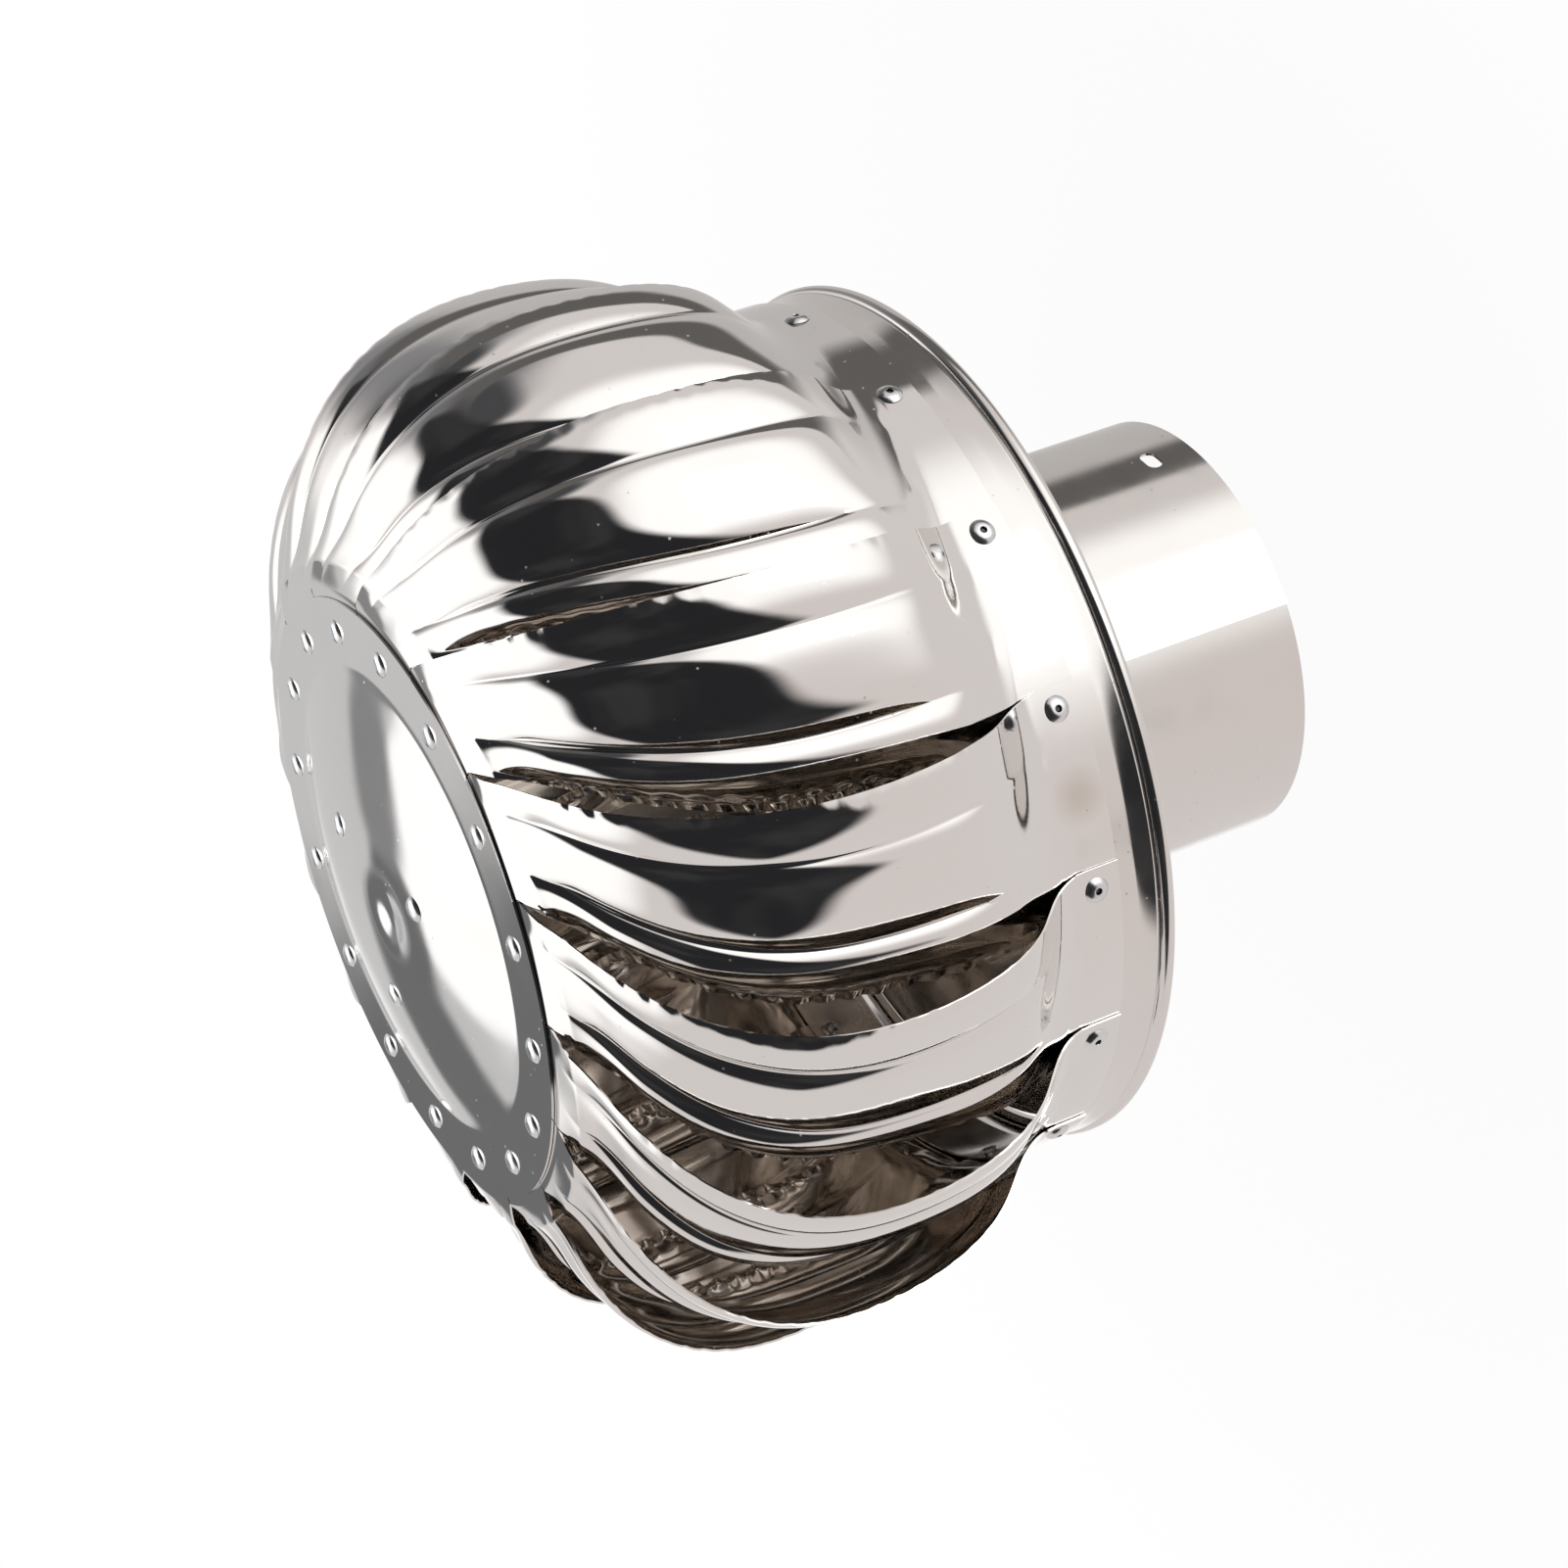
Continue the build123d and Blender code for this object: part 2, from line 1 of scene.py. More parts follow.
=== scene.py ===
"""Polished stainless steel roof turbine ventilator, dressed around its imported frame.

Metres, +Z up along the spin axis, origin at the centre of the neck's open end.
Each sub-assembly is a class that holds its sizes and builds its own surfaces.
"""

import json
import logging
import math
from dataclasses import dataclass
from enum import Enum
from typing import Sequence

import bpy
import numpy as np
from mathutils import Matrix

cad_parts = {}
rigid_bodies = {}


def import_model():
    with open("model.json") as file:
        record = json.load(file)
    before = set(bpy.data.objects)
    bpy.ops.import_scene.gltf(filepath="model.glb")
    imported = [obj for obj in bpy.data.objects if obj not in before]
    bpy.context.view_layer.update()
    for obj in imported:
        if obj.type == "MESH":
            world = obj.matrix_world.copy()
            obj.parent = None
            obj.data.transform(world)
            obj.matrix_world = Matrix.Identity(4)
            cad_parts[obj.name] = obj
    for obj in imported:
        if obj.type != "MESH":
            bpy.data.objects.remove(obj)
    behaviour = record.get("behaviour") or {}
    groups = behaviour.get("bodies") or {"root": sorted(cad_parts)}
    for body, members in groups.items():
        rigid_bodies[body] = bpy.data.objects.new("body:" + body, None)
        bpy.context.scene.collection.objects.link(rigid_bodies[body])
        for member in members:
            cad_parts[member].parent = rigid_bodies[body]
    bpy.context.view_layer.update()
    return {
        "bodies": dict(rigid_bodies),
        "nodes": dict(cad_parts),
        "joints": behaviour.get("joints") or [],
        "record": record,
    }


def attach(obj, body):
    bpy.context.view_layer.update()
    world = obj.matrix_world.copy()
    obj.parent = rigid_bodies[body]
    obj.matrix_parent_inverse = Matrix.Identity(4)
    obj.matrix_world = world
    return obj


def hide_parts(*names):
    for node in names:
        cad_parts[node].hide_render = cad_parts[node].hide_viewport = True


LOG = logging.getLogger("turbine")
MM = 0.001
BLADES = 16
PITCH = 2.0 * math.pi / BLADES
SPLINE_SAMPLES = 4001
AXIS_HOLE = 0.01
RIVET_LIFT = 0.06

Tree = bpy.types.NodeTree
Socket = bpy.types.NodeSocket
Seat = tuple[np.ndarray, np.ndarray]


# --------------------------------------------------------------------------- mesh tools
def unit(vectors: np.ndarray) -> np.ndarray:
    """Scale each row vector to length one.

    Args:
        vectors: Array whose last axis holds vectors.

    Returns:
        The same directions, each of length one.
    """
    size = np.linalg.norm(vectors, axis=-1, keepdims=True)
    return vectors / np.maximum(size, 1e-12)


def smooth_step(value: np.ndarray, low: float, high: float) -> np.ndarray:
    """Rise from 0 at low to 1 at high along 3t^2 - 2t^3.

    Args:
        value: Places to evaluate.
        low: Place where the rise starts.
        high: Place where it ends.

    Returns:
        The share of the rise at each place.
    """
    share = np.clip((value - low) / (high - low), 0.0, 1.0)
    return share * share * (3.0 - 2.0 * share)


def line_lengths(points: np.ndarray) -> np.ndarray:
    """Length along a line at each of its points, 0 at the first."""
    return np.concatenate([[0.0], np.cumsum(np.linalg.norm(np.diff(points, axis=0), axis=1))])


def plateau(value: np.ndarray, ends: tuple[float, float, float, float]) -> np.ndarray:
    """Rise from 0 to 1 between the first two ends, and back to 0 between the last two."""
    return smooth_step(value, *ends[:2]) * (1.0 - smooth_step(value, *ends[2:]))


def bell(distance: np.ndarray, reach: float) -> np.ndarray:
    """Bell shape exp(-(distance / reach)^2)."""
    return np.exp(-((distance / reach) ** 2))


def clamped_spline(
    points: np.ndarray, start: Sequence[float], end: Sequence[float], count: int
) -> np.ndarray:
    """Cubic spline through points with fixed end directions, sampled evenly along its length.

    The slopes at the inner points solve the usual three-term spline equations in chord
    length; each span is then the Hermite cubic of its two points and slopes.

    Args:
        points: The (radius, height) points it passes through.
        start: Direction at the first point.
        end: Direction at the last point.
        count: How many samples to return.

    Returns:
        Array of count by 2 samples at equal arc lengths.
    """
    knots = line_lengths(points)
    chord = np.diff(knots)
    size = len(points)
    system = np.zeros((size, size))
    known = np.zeros((size, 2))
    system[0, 0] = system[-1, -1] = 1.0
    known[0] = start
    known[-1] = end
    inner = np.arange(1, size - 1)
    before, after = chord[:-1], chord[1:]
    system[inner, inner - 1] = after
    system[inner, inner] = 2.0 * (before + after)
    system[inner, inner + 1] = before
    step_in = (points[1:-1] - points[:-2]) / before[:, None]
    step_out = (points[2:] - points[1:-1]) / after[:, None]
    known[1:-1] = 3.0 * (after[:, None] * step_in + before[:, None] * step_out)
    slope = np.linalg.solve(system, known)
    dense = np.linspace(0.0, knots[-1], SPLINE_SAMPLES)
    span = np.clip(np.searchsorted(knots, dense, side="right") - 1, 0, size - 2)
    width = chord[span]
    share = ((dense - knots[span]) / width)[:, None]
    curve = (
        (2 * share**3 - 3 * share**2 + 1) * points[span]
        + (share**3 - 2 * share**2 + share) * slope[span] * width[:, None]
        + (3 * share**2 - 2 * share**3) * points[span + 1]
        + (share**3 - share**2) * slope[span + 1] * width[:, None]
    )
    run = line_lengths(curve)
    even = np.linspace(0.0, run[-1], count)
    return np.stack([np.interp(even, run, curve[:, axis]) for axis in (0, 1)], axis=1)


def grid_faces(
    rows: int, columns: int, wrap_rows: bool = False, wrap_columns: bool = False
) -> np.ndarray:
    """Quads of a rows by columns grid of vertices.

    Args:
        rows: Vertices along the first way.
        columns: Vertices along the second way.
        wrap_rows: Whether the last row joins the first.
        wrap_columns: Whether the last column joins the first.

    Returns:
        Array of quads, four vertex numbers each.
    """
    row = np.arange(rows if wrap_rows else rows - 1)
    column = np.arange(columns if wrap_columns else columns - 1)
    low, left = np.meshgrid(row, column, indexing="ij")
    high, right = (low + 1) % rows, (left + 1) % columns
    quads = [low * columns + left, low * columns + right, high * columns + right, high * columns + left]
    return np.stack(quads, axis=-1).reshape(-1, 4)


def grid_rim(rows: int, columns: int) -> np.ndarray:
    """Vertices round the rim of a grid, along the first row first.

    Args:
        rows: Vertices along the first way.
        columns: Vertices along the second way.

    Returns:
        Vertex numbers in order round the rim.
    """
    first = np.arange(columns)
    right = np.arange(1, rows) * columns + columns - 1
    last = (rows - 1) * columns + np.arange(columns - 2, -1, -1)
    left = np.arange(rows - 2, 0, -1) * columns
    return np.concatenate([first, right, last, left])


def rim_wall(rim: np.ndarray, layer: int) -> np.ndarray:
    """Quads that join a closed rim to the same rim one layer of vertices further on."""
    after = np.roll(rim, -1)
    return np.stack([rim, rim + layer, after + layer, after], axis=1)


def make_piece(
    name: str, points: np.ndarray, faces: Sequence, finish: bpy.types.Material
) -> bpy.types.Object:
    """Make a smooth-shaded mesh object at the origin.

    Args:
        name: Object name.
        points: Vertex places in metres, any shape ending in 3.
        faces: Vertex numbers of each face.
        finish: Its material.

    Returns:
        The new object, linked to the scene.
    """
    mesh = bpy.data.meshes.new(name)
    mesh.from_pydata(points.reshape(-1, 3).tolist(), [], [list(map(int, face)) for face in faces])
    mesh.update()
    mesh.polygons.foreach_set("use_smooth", np.ones(len(mesh.polygons), dtype=bool))
    mesh.materials.append(finish)
    piece = bpy.data.objects.new(name, mesh)
    bpy.context.scene.collection.objects.link(piece)
    return piece


def keep_edges_sharp(piece: bpy.types.Object, angle: float) -> None:
    """Mark edges sharper than an angle, so that smooth shading stops there.

    Args:
        piece: Mesh object.
        angle: Limit in degrees.
    """
    piece.data.set_sharp_from_angle(angle=math.radians(angle))


def lathe(profile: np.ndarray, turns: int) -> tuple[np.ndarray, np.ndarray]:
    """Turn a closed (radius, height) outline about Z.

    Vertex (i, j) stands at radius r_j and height z_j, at angle 2 pi i over turns.

    Args:
        profile: Closed outline, counter-clockwise with radius to the right.
        turns: Steps round the axis.

    Returns:
        Vertex grid and its quads.
    """
    angle = np.linspace(0.0, 2.0 * np.pi, turns, endpoint=False)[:, None]
    radius, height = profile[None, :, 0], profile[None, :, 1]
    flat = np.broadcast_to(height, (turns, len(profile)))
    points = np.stack([radius * np.cos(angle), radius * np.sin(angle), flat], axis=-1)
    return points, grid_faces(turns, len(profile), wrap_rows=True, wrap_columns=True)


def pole_lids(turns: int, size: int) -> np.ndarray:
    """Two small faces that close a turned grid at the axis, at its first and last column.

    Args:
        turns: Steps round the axis.
        size: Points in the outline.

    Returns:
        Vertex numbers of the lid at the outline's start and of the lid at its end.
    """
    start = np.arange(turns) * size
    return np.stack([start, start[::-1] + size - 1])


def thick_line(middle: np.ndarray, thickness: float) -> np.ndarray:
    """Closed outline of a sheet whose middle line is given.

    Each side is the line moved half the thickness along its own normal.

    Args:
        middle: Open line of (radius, height) points.
        thickness: Sheet thickness, below zero to start with the other side.

    Returns:
        The outline: the side on the line's right forward, then the other side back.
    """
    run = unit(np.gradient(middle, axis=0))
    normal = np.stack([run[:, 1], -run[:, 0]], axis=1) * thickness / 2.0
    return np.concatenate([middle + normal, (middle - normal)[::-1]])


def arc_line(centre: Sequence[float], radius: float, start: float, end: float, count: int) -> np.ndarray:
    """Points on a circle's arc.

    Args:
        centre: Centre of the circle.
        radius: Its radius.
        start: First angle in degrees.
        end: Last angle in degrees.
        count: Number of points.

    Returns:
        Array of count by 2 points.
    """
    angle = np.radians(np.linspace(start, end, count))
    return np.asarray(centre) + radius * np.stack([np.cos(angle), np.sin(angle)], axis=1)


# --------------------------------------------------------------------------- finishes
def add_node(tree: Tree, kind: str, inputs: dict | None = None, **options: str) -> bpy.types.Node:
    """Add a shader node, set its options, and give its inputs values or links.

    Args:
        tree: Tree that it joins.
        kind: Its type, without the leading ShaderNode.
        inputs: A value or a source socket for each input, by name or number.
        options: Its settings.

    Returns:
        The new node.
    """
    node = tree.nodes.new(f"ShaderNode{kind}")
    for name, option in options.items():
        setattr(node, name, option)
    for key, value in (inputs or {}).items():
        if isinstance(value, Socket):
            tree.links.new(value, node.inputs[key])
        else:
            node.inputs[key].default_value = value
    return node


def noise(tree: Tree, vector: Socket, scale: float, detail: float) -> Socket:
    """Add a noise texture of a scale per metre and a number of octaves."""
    return add_node(tree, "TexNoise", {"Vector": vector, "Scale": scale, "Detail": detail}).outputs["Fac"]


def remap(
    tree: Tree,
    value: Socket,
    start: float,
    end: float,
    low: float = 0.0,
    high: float = 1.0,
    curve: str = "LINEAR",
) -> Socket:
    """Map a value between start and end to low and high.

    Args:
        tree: Tree that the node joins.
        value: The value.
        start: Value where the result is low.
        end: Value where the result is high.
        low: Result at start and before it.
        high: Result at end and past it.
        curve: How the result runs between them.

    Returns:
        The mapped socket.
    """
    inputs = {"Value": value, "From Min": start, "From Max": end, "To Min": low, "To Max": high}
    return add_node(tree, "MapRange", inputs, interpolation_type=curve).outputs["Result"]


def multiply(tree: Tree, first: Socket, second: Socket) -> Socket:
    """Product of two values."""
    return add_node(tree, "Math", {0: first, 1: second}, operation="MULTIPLY").outputs["Value"]


def paint(tree: Tree, under: Socket | Sequence[float], share: Socket, color: Sequence[float]) -> Socket:
    """Lay a colour over another where share is 1."""
    return add_node(tree, "Mix", {0: share, 6: under, 7: (*color, 1.0)}, data_type="RGBA").outputs[2]


def node_material(name: str) -> tuple[bpy.types.Material, Tree, bpy.types.Node]:
    """Make an empty node material.

    Args:
        name: Material name.

    Returns:
        The material, its tree and its principled shader.
    """
    material = bpy.data.materials.new(name)
    material.use_nodes = True
    return material, material.node_tree, material.node_tree.nodes["Principled BSDF"]


class Grain(Enum):
    """Which way fine rolling or polishing lines run."""

    UPRIGHT = (1.0, 1.0, 0.04)
    EVEN = (1.0, 1.0, 1.0)


@dataclass(frozen=True)
class SteelFinish:
    """Polished or plain metal with fine grain, dimples, specks and uneven gloss.

    heat_spots are places in metres where a rivet gun or torch has left a straw tint.
    Scales are per metre, reaches in metres, and pit sizes are shares of a grid cell.
    """

    name: str
    color: tuple[float, float, float]
    roughness: float = 0.07
    gloss_change: float = 0.05
    grain: Grain = Grain.EVEN
    grain_depth: float = 0.02
    wave_depth: float = 0.12
    wave_scale: float = 45.0
    wave_reach: float = 0.002
    grain_scale: float = 2600.0
    grain_reach: float = 0.0001
    gloss_scale: float = 120.0
    pit_depth: float = 0.05
    pit_dullness: float = 0.4
    pit_scale: float = 260.0
    pit_size: tuple[float, float] = (0.05, 0.11)
    pit_chance: tuple[float, float] = (0.64, 0.66)
    stain: float = 0.06
    stain_scale: float = 28.0
    tint: tuple[float, float, float] = (0.55, 0.47, 0.36)
    heat_spots: tuple[tuple[float, float, float], ...] = ()
    heat_reach: tuple[float, float] = (0.0015, 0.008)
    heat_share: float = 0.45

    def build(self) -> bpy.types.Material:
        """Make the node material.

        Returns:
            The finished material.
        """
        material, tree, shader = node_material(self.name)
        place = add_node(tree, "TexCoord").outputs["Object"]
        gloss = noise(tree, place, self.gloss_scale, 3.0)
        rough = remap(tree, gloss, 0.35, 0.65, self.roughness, self.roughness + self.gloss_change)
        pits = self._pits(tree, place)
        dull = add_node(tree, "Math", {0: pits, 1: self.pit_dullness, 2: rough}, operation="MULTIPLY_ADD")
        shader.inputs["Metallic"].default_value = 1.0
        tree.links.new(self._mix_color(tree, place), shader.inputs["Base Color"])
        tree.links.new(dull.outputs["Value"], shader.inputs["Roughness"])
        tree.links.new(self._bumps(tree, place, pits), shader.inputs["Normal"])
        return material

    def _pits(self, tree: Tree, place: Socket) -> Socket:
        """Mask of tiny dull pits: a dot in about a third of the cells of a random grid.

        Args:
            tree: Material tree.
            place: Where it reads its place.

        Returns:
            Socket that is 1 in a pit and 0 elsewhere.
        """
        cells = add_node(tree, "TexVoronoi", {"Vector": place, "Scale": self.pit_scale})
        dot = remap(tree, cells.outputs["Distance"], *self.pit_size, 1.0, 0.0)
        chance = add_node(tree, "SeparateColor", {"Color": cells.outputs["Color"]})
        return multiply(tree, dot, remap(tree, chance.outputs["Red"], *self.pit_chance))

    def _mix_color(self, tree: Tree, place: Socket) -> Socket:
        """Base colour with faint stains and, where stated, straw-coloured heat spots.

        Args:
            tree: Material tree.
            place: Where it reads its place.

        Returns:
            The colour socket.
        """
        stain = remap(tree, noise(tree, place, self.stain_scale, 5.0), 0.5, 0.75, 0.0, self.stain)
        color = paint(tree, (*self.color, 1.0), stain, self.tint)
        for spot in self.heat_spots:
            away = add_node(tree, "VectorMath", {0: place, 1: spot}, operation="DISTANCE")
            fade = remap(tree, away.outputs["Value"], *self.heat_reach, self.heat_share, 0.0)
            color = paint(tree, color, fade, self.tint)
        return color

    def _bumps(self, tree: Tree, place: Socket, pits: Socket) -> Socket:
        """Slow waves of hand-worked sheet, fine grain lines and tiny pits.

        Args:
            tree: Material tree.
            place: Where it reads its place.
            pits: Mask of the pits.

        Returns:
            The normal socket.
        """
        stretched = add_node(tree, "Mapping", {"Vector": place, "Scale": self.grain.value})
        wave = noise(tree, place, self.wave_scale, 1.0)
        grain = noise(tree, stretched.outputs["Vector"], self.grain_scale, 2.0)
        below = {}
        for height, strength, reach in (
            (wave, self.wave_depth, self.wave_reach),
            (grain, self.grain_depth, self.grain_reach),
            (pits, self.pit_depth, self.grain_reach),
        ):
            inputs = {"Strength": strength, "Distance": reach, "Height": height, **below}
            below = {"Normal": add_node(tree, "Bump", inputs).outputs["Normal"]}
        return below["Normal"]


# --------------------------------------------------------------------------- blades
@dataclass
class BladeRing:
    """The sixteen pressed blades, each with three lobes, two creases and crimped edges.

    Sizes are millimetres and degrees. crown_radius and the outlines give the middle of the
    sheet at its free edge; the lobes and the sheet stand about 1.2 mm further out.
    Spans hold shares of the body where a feature starts, is full, starts to fade and ends.
    """

    finish: bpy.types.Material
    # Darker, warmer steel of the inner faces: painted shade and painted warm reflection.
    inner_painted_shade: bpy.types.Material
    sheet: float = 0.5
    lap_gap: float = 0.15
    ring_radius: float = 112.2
    ring_top: float = 104.0
    tab_bottom: float = 93.0
    crown_radius: float = 135.15
    crown_height: float = 158.0
    cap_tab_outer: float = 79.0
    cap_tab_inner: float = 62.0
    cap_tab_height: float = 224.9
    depth: float = 18.0
    sweep: float = 17.8
    bow: float = 3.4
    overlap: float = 5.0
    margin: float = 2.8
    cap_gap: float = 0.35
    lower_outline: tuple[tuple[float, float], ...] = ((0.50, 0.305), (0.87, 0.63))
    upper_outline: tuple[tuple[float, float], ...] = ((0.92, 0.45), (0.73, 0.69), (0.42, 0.87), (0.16, 0.96))
    crease_places: tuple[float, float] = (0.31, 0.765)
    lobe_ends: tuple[float, float] = (0.05, 1.04)
    lobe_rise: tuple[float, float, float] = (2.6, 1.9, 1.5)
    lobe_power: tuple[float, float, float] = (2.5, 4.0, 2.4)
    crimp_height: float = 0.7
    pinch_depth: float = 0.36
    pinch_length: float = 5.8
    crimp_length: float = 8.4
    fold_drop: float = -2.5
    fold_rise: float = 8.0
    fold_height: float = 0.2
    dent_depth: float = 0.13
    cap_fold_radius: float = 85.5
    cap_fold_height: float = 0.75
    cap_fold_reach: float = 5.0
    cap_fold_from: float = 0.7
    dent_shifts: tuple[float, float] = (0.1, -0.02)
    dent_place: float = 4.0
    dent_length: float = 1.2
    dent_width: float = 0.055
    fold_fade: float = 30.0
    follow_reach: float = 14.0
    full_span: tuple[float, float, float, float] = (0.05, 0.29, 0.84, 0.995)
    crimp_span: tuple[float, float, float, float] = (0.12, 0.3, 0.8, 0.93)
    crimp_width: float = 0.06
    pinch_width: float = 0.04
    pulse_sharpness: float = 2.2
    pulse_change: float = 0.35
    pulse_wander: float = 5.1
    row_crowding: float = 0.08
    tab_scale: float = 100.0
    foot_rows: int = 8
    head_rows: int = 10
    rows: int = 190
    columns: int = 88

    @property
    def face_count(self) -> int:
        """Faces on one side of a blade."""
        return (self.rows - 1) * (self.columns - 1)

    @property
    def tab_span(self) -> float:
        """Angle that a tab covers on the ring, in degrees."""
        return 360.0 / BLADES + self.overlap

    @property
    def tab_depth(self) -> float:
        """How much nearer the axis a tab's inner end lies than its free end."""
        return (self.sheet + self.lap_gap) * self.tab_span * BLADES / 360.0

    @property
    def tab_radius(self) -> float:
        """Radius of the middle of the sheet at a tab's free end."""
        return self.ring_radius + self.lap_gap + self.sheet / 2.0 + self.tab_depth

    @property
    def outer_tab_radius(self) -> float:
        """Radius of the outer tab's face at its rivet."""
        share = 1.0 - self.margin / self.tab_span
        return self.ring_radius + self.lap_gap + self.tab_depth * share + self.sheet

    def meridian(self) -> tuple[np.ndarray, np.ndarray]:
        """Free edge's outline from the ring tab's foot to the cap tab's end.

        Returns:
            Points by row, and each row's share of the body: below 0 on the ring tab,
            above 1 on the cap tab.
        """
        bulge = self.crown_radius - self.tab_radius
        overhang = self.crown_radius - self.cap_tab_outer
        rise = self.crown_height - self.ring_top
        fall = self.cap_tab_height - self.crown_height
        tab = np.array([self.tab_radius, self.ring_top])
        cap_tab = np.array([self.cap_tab_outer, self.crown_height])
        lower = tab + np.array(self.lower_outline) * (bulge, rise)
        upper = cap_tab + np.array(self.upper_outline) * (overhang, fall)
        crown, end = (self.crown_radius, self.crown_height), (self.cap_tab_outer, self.cap_tab_height)
        knots = np.array([tab, *lower, crown, *upper, end])
        foot_rows, head_rows = self.foot_rows, self.head_rows
        body = clamped_spline(knots, (0.0, 1.0), (-1.0, 0.0), self.rows - foot_rows - head_rows)
        even = np.linspace(0.0, 1.0, len(body))
        share = even - self.row_crowding * np.sin(2.0 * np.pi * even)
        body = np.stack([np.interp(share, even, body[:, axis]) for axis in (0, 1)], axis=1)
        foot_z = np.linspace(self.tab_bottom, self.ring_top, foot_rows, endpoint=False)
        foot = np.stack([np.full(foot_rows, self.tab_radius), foot_z], axis=1)
        head_r = np.linspace(self.cap_tab_outer, self.cap_tab_inner, head_rows + 1)[1:]
        head = np.stack([head_r, np.full(head_rows, self.cap_tab_height)], axis=1)
        foot_share = (foot_z - self.ring_top) / self.tab_scale
        head_share = 1.0 + (self.cap_tab_outer - head_r) / self.tab_scale
        return np.concatenate([foot, body, head]), np.concatenate([foot_share, share, head_share])

    def lobes(self, across: np.ndarray) -> np.ndarray:
        """Outward swell of the three lobes.

        Each lobe is rise * (1 - |2t - 1|^power) between its creases, t being the share
        of the way across it, so a high power gives a flat panel with tight edges.

        Args:
            across: Shares of the width, 0 at the inner edge and 1 at the free edge.

        Returns:
            Swell in millimetres.
        """
        low, high = self.crease_places
        first, last = self.lobe_ends
        bounds = ((first, low), (low, high), (high, last))
        swell = np.zeros_like(across)
        for (start, end), rise, power in zip(bounds, self.lobe_rise, self.lobe_power):
            share = (across - start) / (end - start)
            inside = (share >= 0.0) & (share <= 1.0)
            swell = np.where(inside, rise * (1.0 - np.abs(2.0 * share - 1.0) ** power), swell)
        return swell

    def tab_fold(self, past: np.ndarray, across: np.ndarray) -> np.ndarray:
        """Fold line between the flat tab and the body, and the pinched end of each crease.

        Past the fold the sheet stands out by height * (1 - exp(-d)) * exp(-d / fade), d
        being the distance past the fold; each dent is a long narrow bell shape.

        Args:
            past: Distance past the fold at each point.
            across: Share of the width of each column.

        Returns:
            Outward offset in millimetres.
        """
        beyond = np.maximum(past, 0.0)
        fold = self.fold_height * (1.0 - np.exp(-beyond)) * np.exp(-beyond / self.fold_fade)
        long = bell(past - self.dent_place, self.dent_length)
        for crease, shift in zip(self.crease_places, self.dent_shifts):
            fold = fold - self.dent_depth * long * bell(across - crease - shift, self.dent_width)
        return fold

    def cap_fold(self, radius: np.ndarray, body: np.ndarray) -> np.ndarray:
        """Flat facet between the cap's edge and the fold where the body turns down.

        The outward offset grows from the tab to the fold and dies away beyond it.

        Args:
            radius: Outline radius at each point.
            body: Share of the body's length at each point.

        Returns:
            Outward offset in millimetres.
        """
        beyond = radius - self.cap_fold_radius
        rise = np.clip(1.0 + beyond / (self.cap_fold_radius - self.cap_tab_outer), 0.0, 1.0) ** 1.5
        fade = np.exp(-np.maximum(beyond, 0.0) / self.cap_fold_reach)
        return self.cap_fold_height * np.where(beyond < 0.0, rise, fade) * (body > self.cap_fold_from)

    def surface(self) -> np.ndarray:
        """Middle surface of the blade whose ring rivet stands at angle zero.

        A point lies on the turned outline, moved inward by the fall of its lobe profile:
        depth times (1 - across), less the lobes' swell, plus the crimps at both edges.
        The free edge leads by sweep * body^4.5 - bow * sin(pi * body^0.8) degrees, the
        overlap shrinks as (1 - body)^3, and the depth follows sin(pi * body^0.85) to a
        power that eases off towards the cap. The crimps are a sine at the inner edge and
        exp(sharpness * (cos - 1)) pulses at the free edge.

        Returns:
            Grid of rows by columns points in millimetres.
        """
        outline, share = self.meridian()
        length = line_lengths(outline)
        run = unit(np.gradient(outline, axis=0))
        across = np.linspace(0.0, 1.0, self.columns)[None, :]
        fold_at = float(np.interp(0.0, share, length))
        fading = bell(length - fold_at, self.follow_reach)
        follow = np.where(length < fold_at, length / fold_at, fading)[:, None]
        shift = self.fold_drop + self.fold_rise * (1.0 - across) ** 1.3
        place = length[:, None] + follow * shift

        def at_place(values: np.ndarray) -> np.ndarray:
            """Read row values at every point's own place along the outline."""
            return np.interp(place, length, values)

        body = np.clip(at_place(share), 0.0, 1.0)
        lead = self.sweep * body**4.5 - self.bow * np.sin(np.pi * body**0.8)
        span = 360.0 / BLADES - self.cap_gap + (self.overlap + self.cap_gap) * (1.0 - body) ** 3
        power = 1.3 + 0.6 * np.exp(-body / 0.08) - 0.4 * smooth_step(body, 0.7, 0.92)
        swell = np.maximum(np.sin(np.pi * body**0.85), 0.0) ** power
        depth = self.tab_depth * (1.0 - body) + self.depth * swell
        fall = depth * (1.0 - across) - plateau(body, self.full_span) * self.lobes(across)
        fall = fall - self.tab_fold(place - fold_at - shift, across)
        fall = fall - self.cap_fold(at_place(outline[:, 0]), body)
        ripple = np.sin(2.0 * np.pi * place / self.crimp_length)
        wave = np.cos(2.0 * np.pi * place / self.pinch_length)
        change = 1.0 - self.pulse_change + self.pulse_change * np.sin(place / self.pulse_wander)
        pulse = np.exp(self.pulse_sharpness * (wave - 1.0)) * change
        held = plateau(body, self.crimp_span)
        fall = fall + self.crimp_height * ripple * bell(across, self.crimp_width) * held
        fall = fall + self.pinch_depth * pulse * bell(1.0 - across, self.pinch_width) * held
        angle = np.radians(self.margin + lead - span * (1.0 - across))
        radius = at_place(outline[:, 0]) - at_place(run[:, 1]) * fall
        height = at_place(outline[:, 1]) + at_place(run[:, 0]) * fall
        return np.stack([radius * np.cos(angle), radius * np.sin(angle), height], axis=-1)

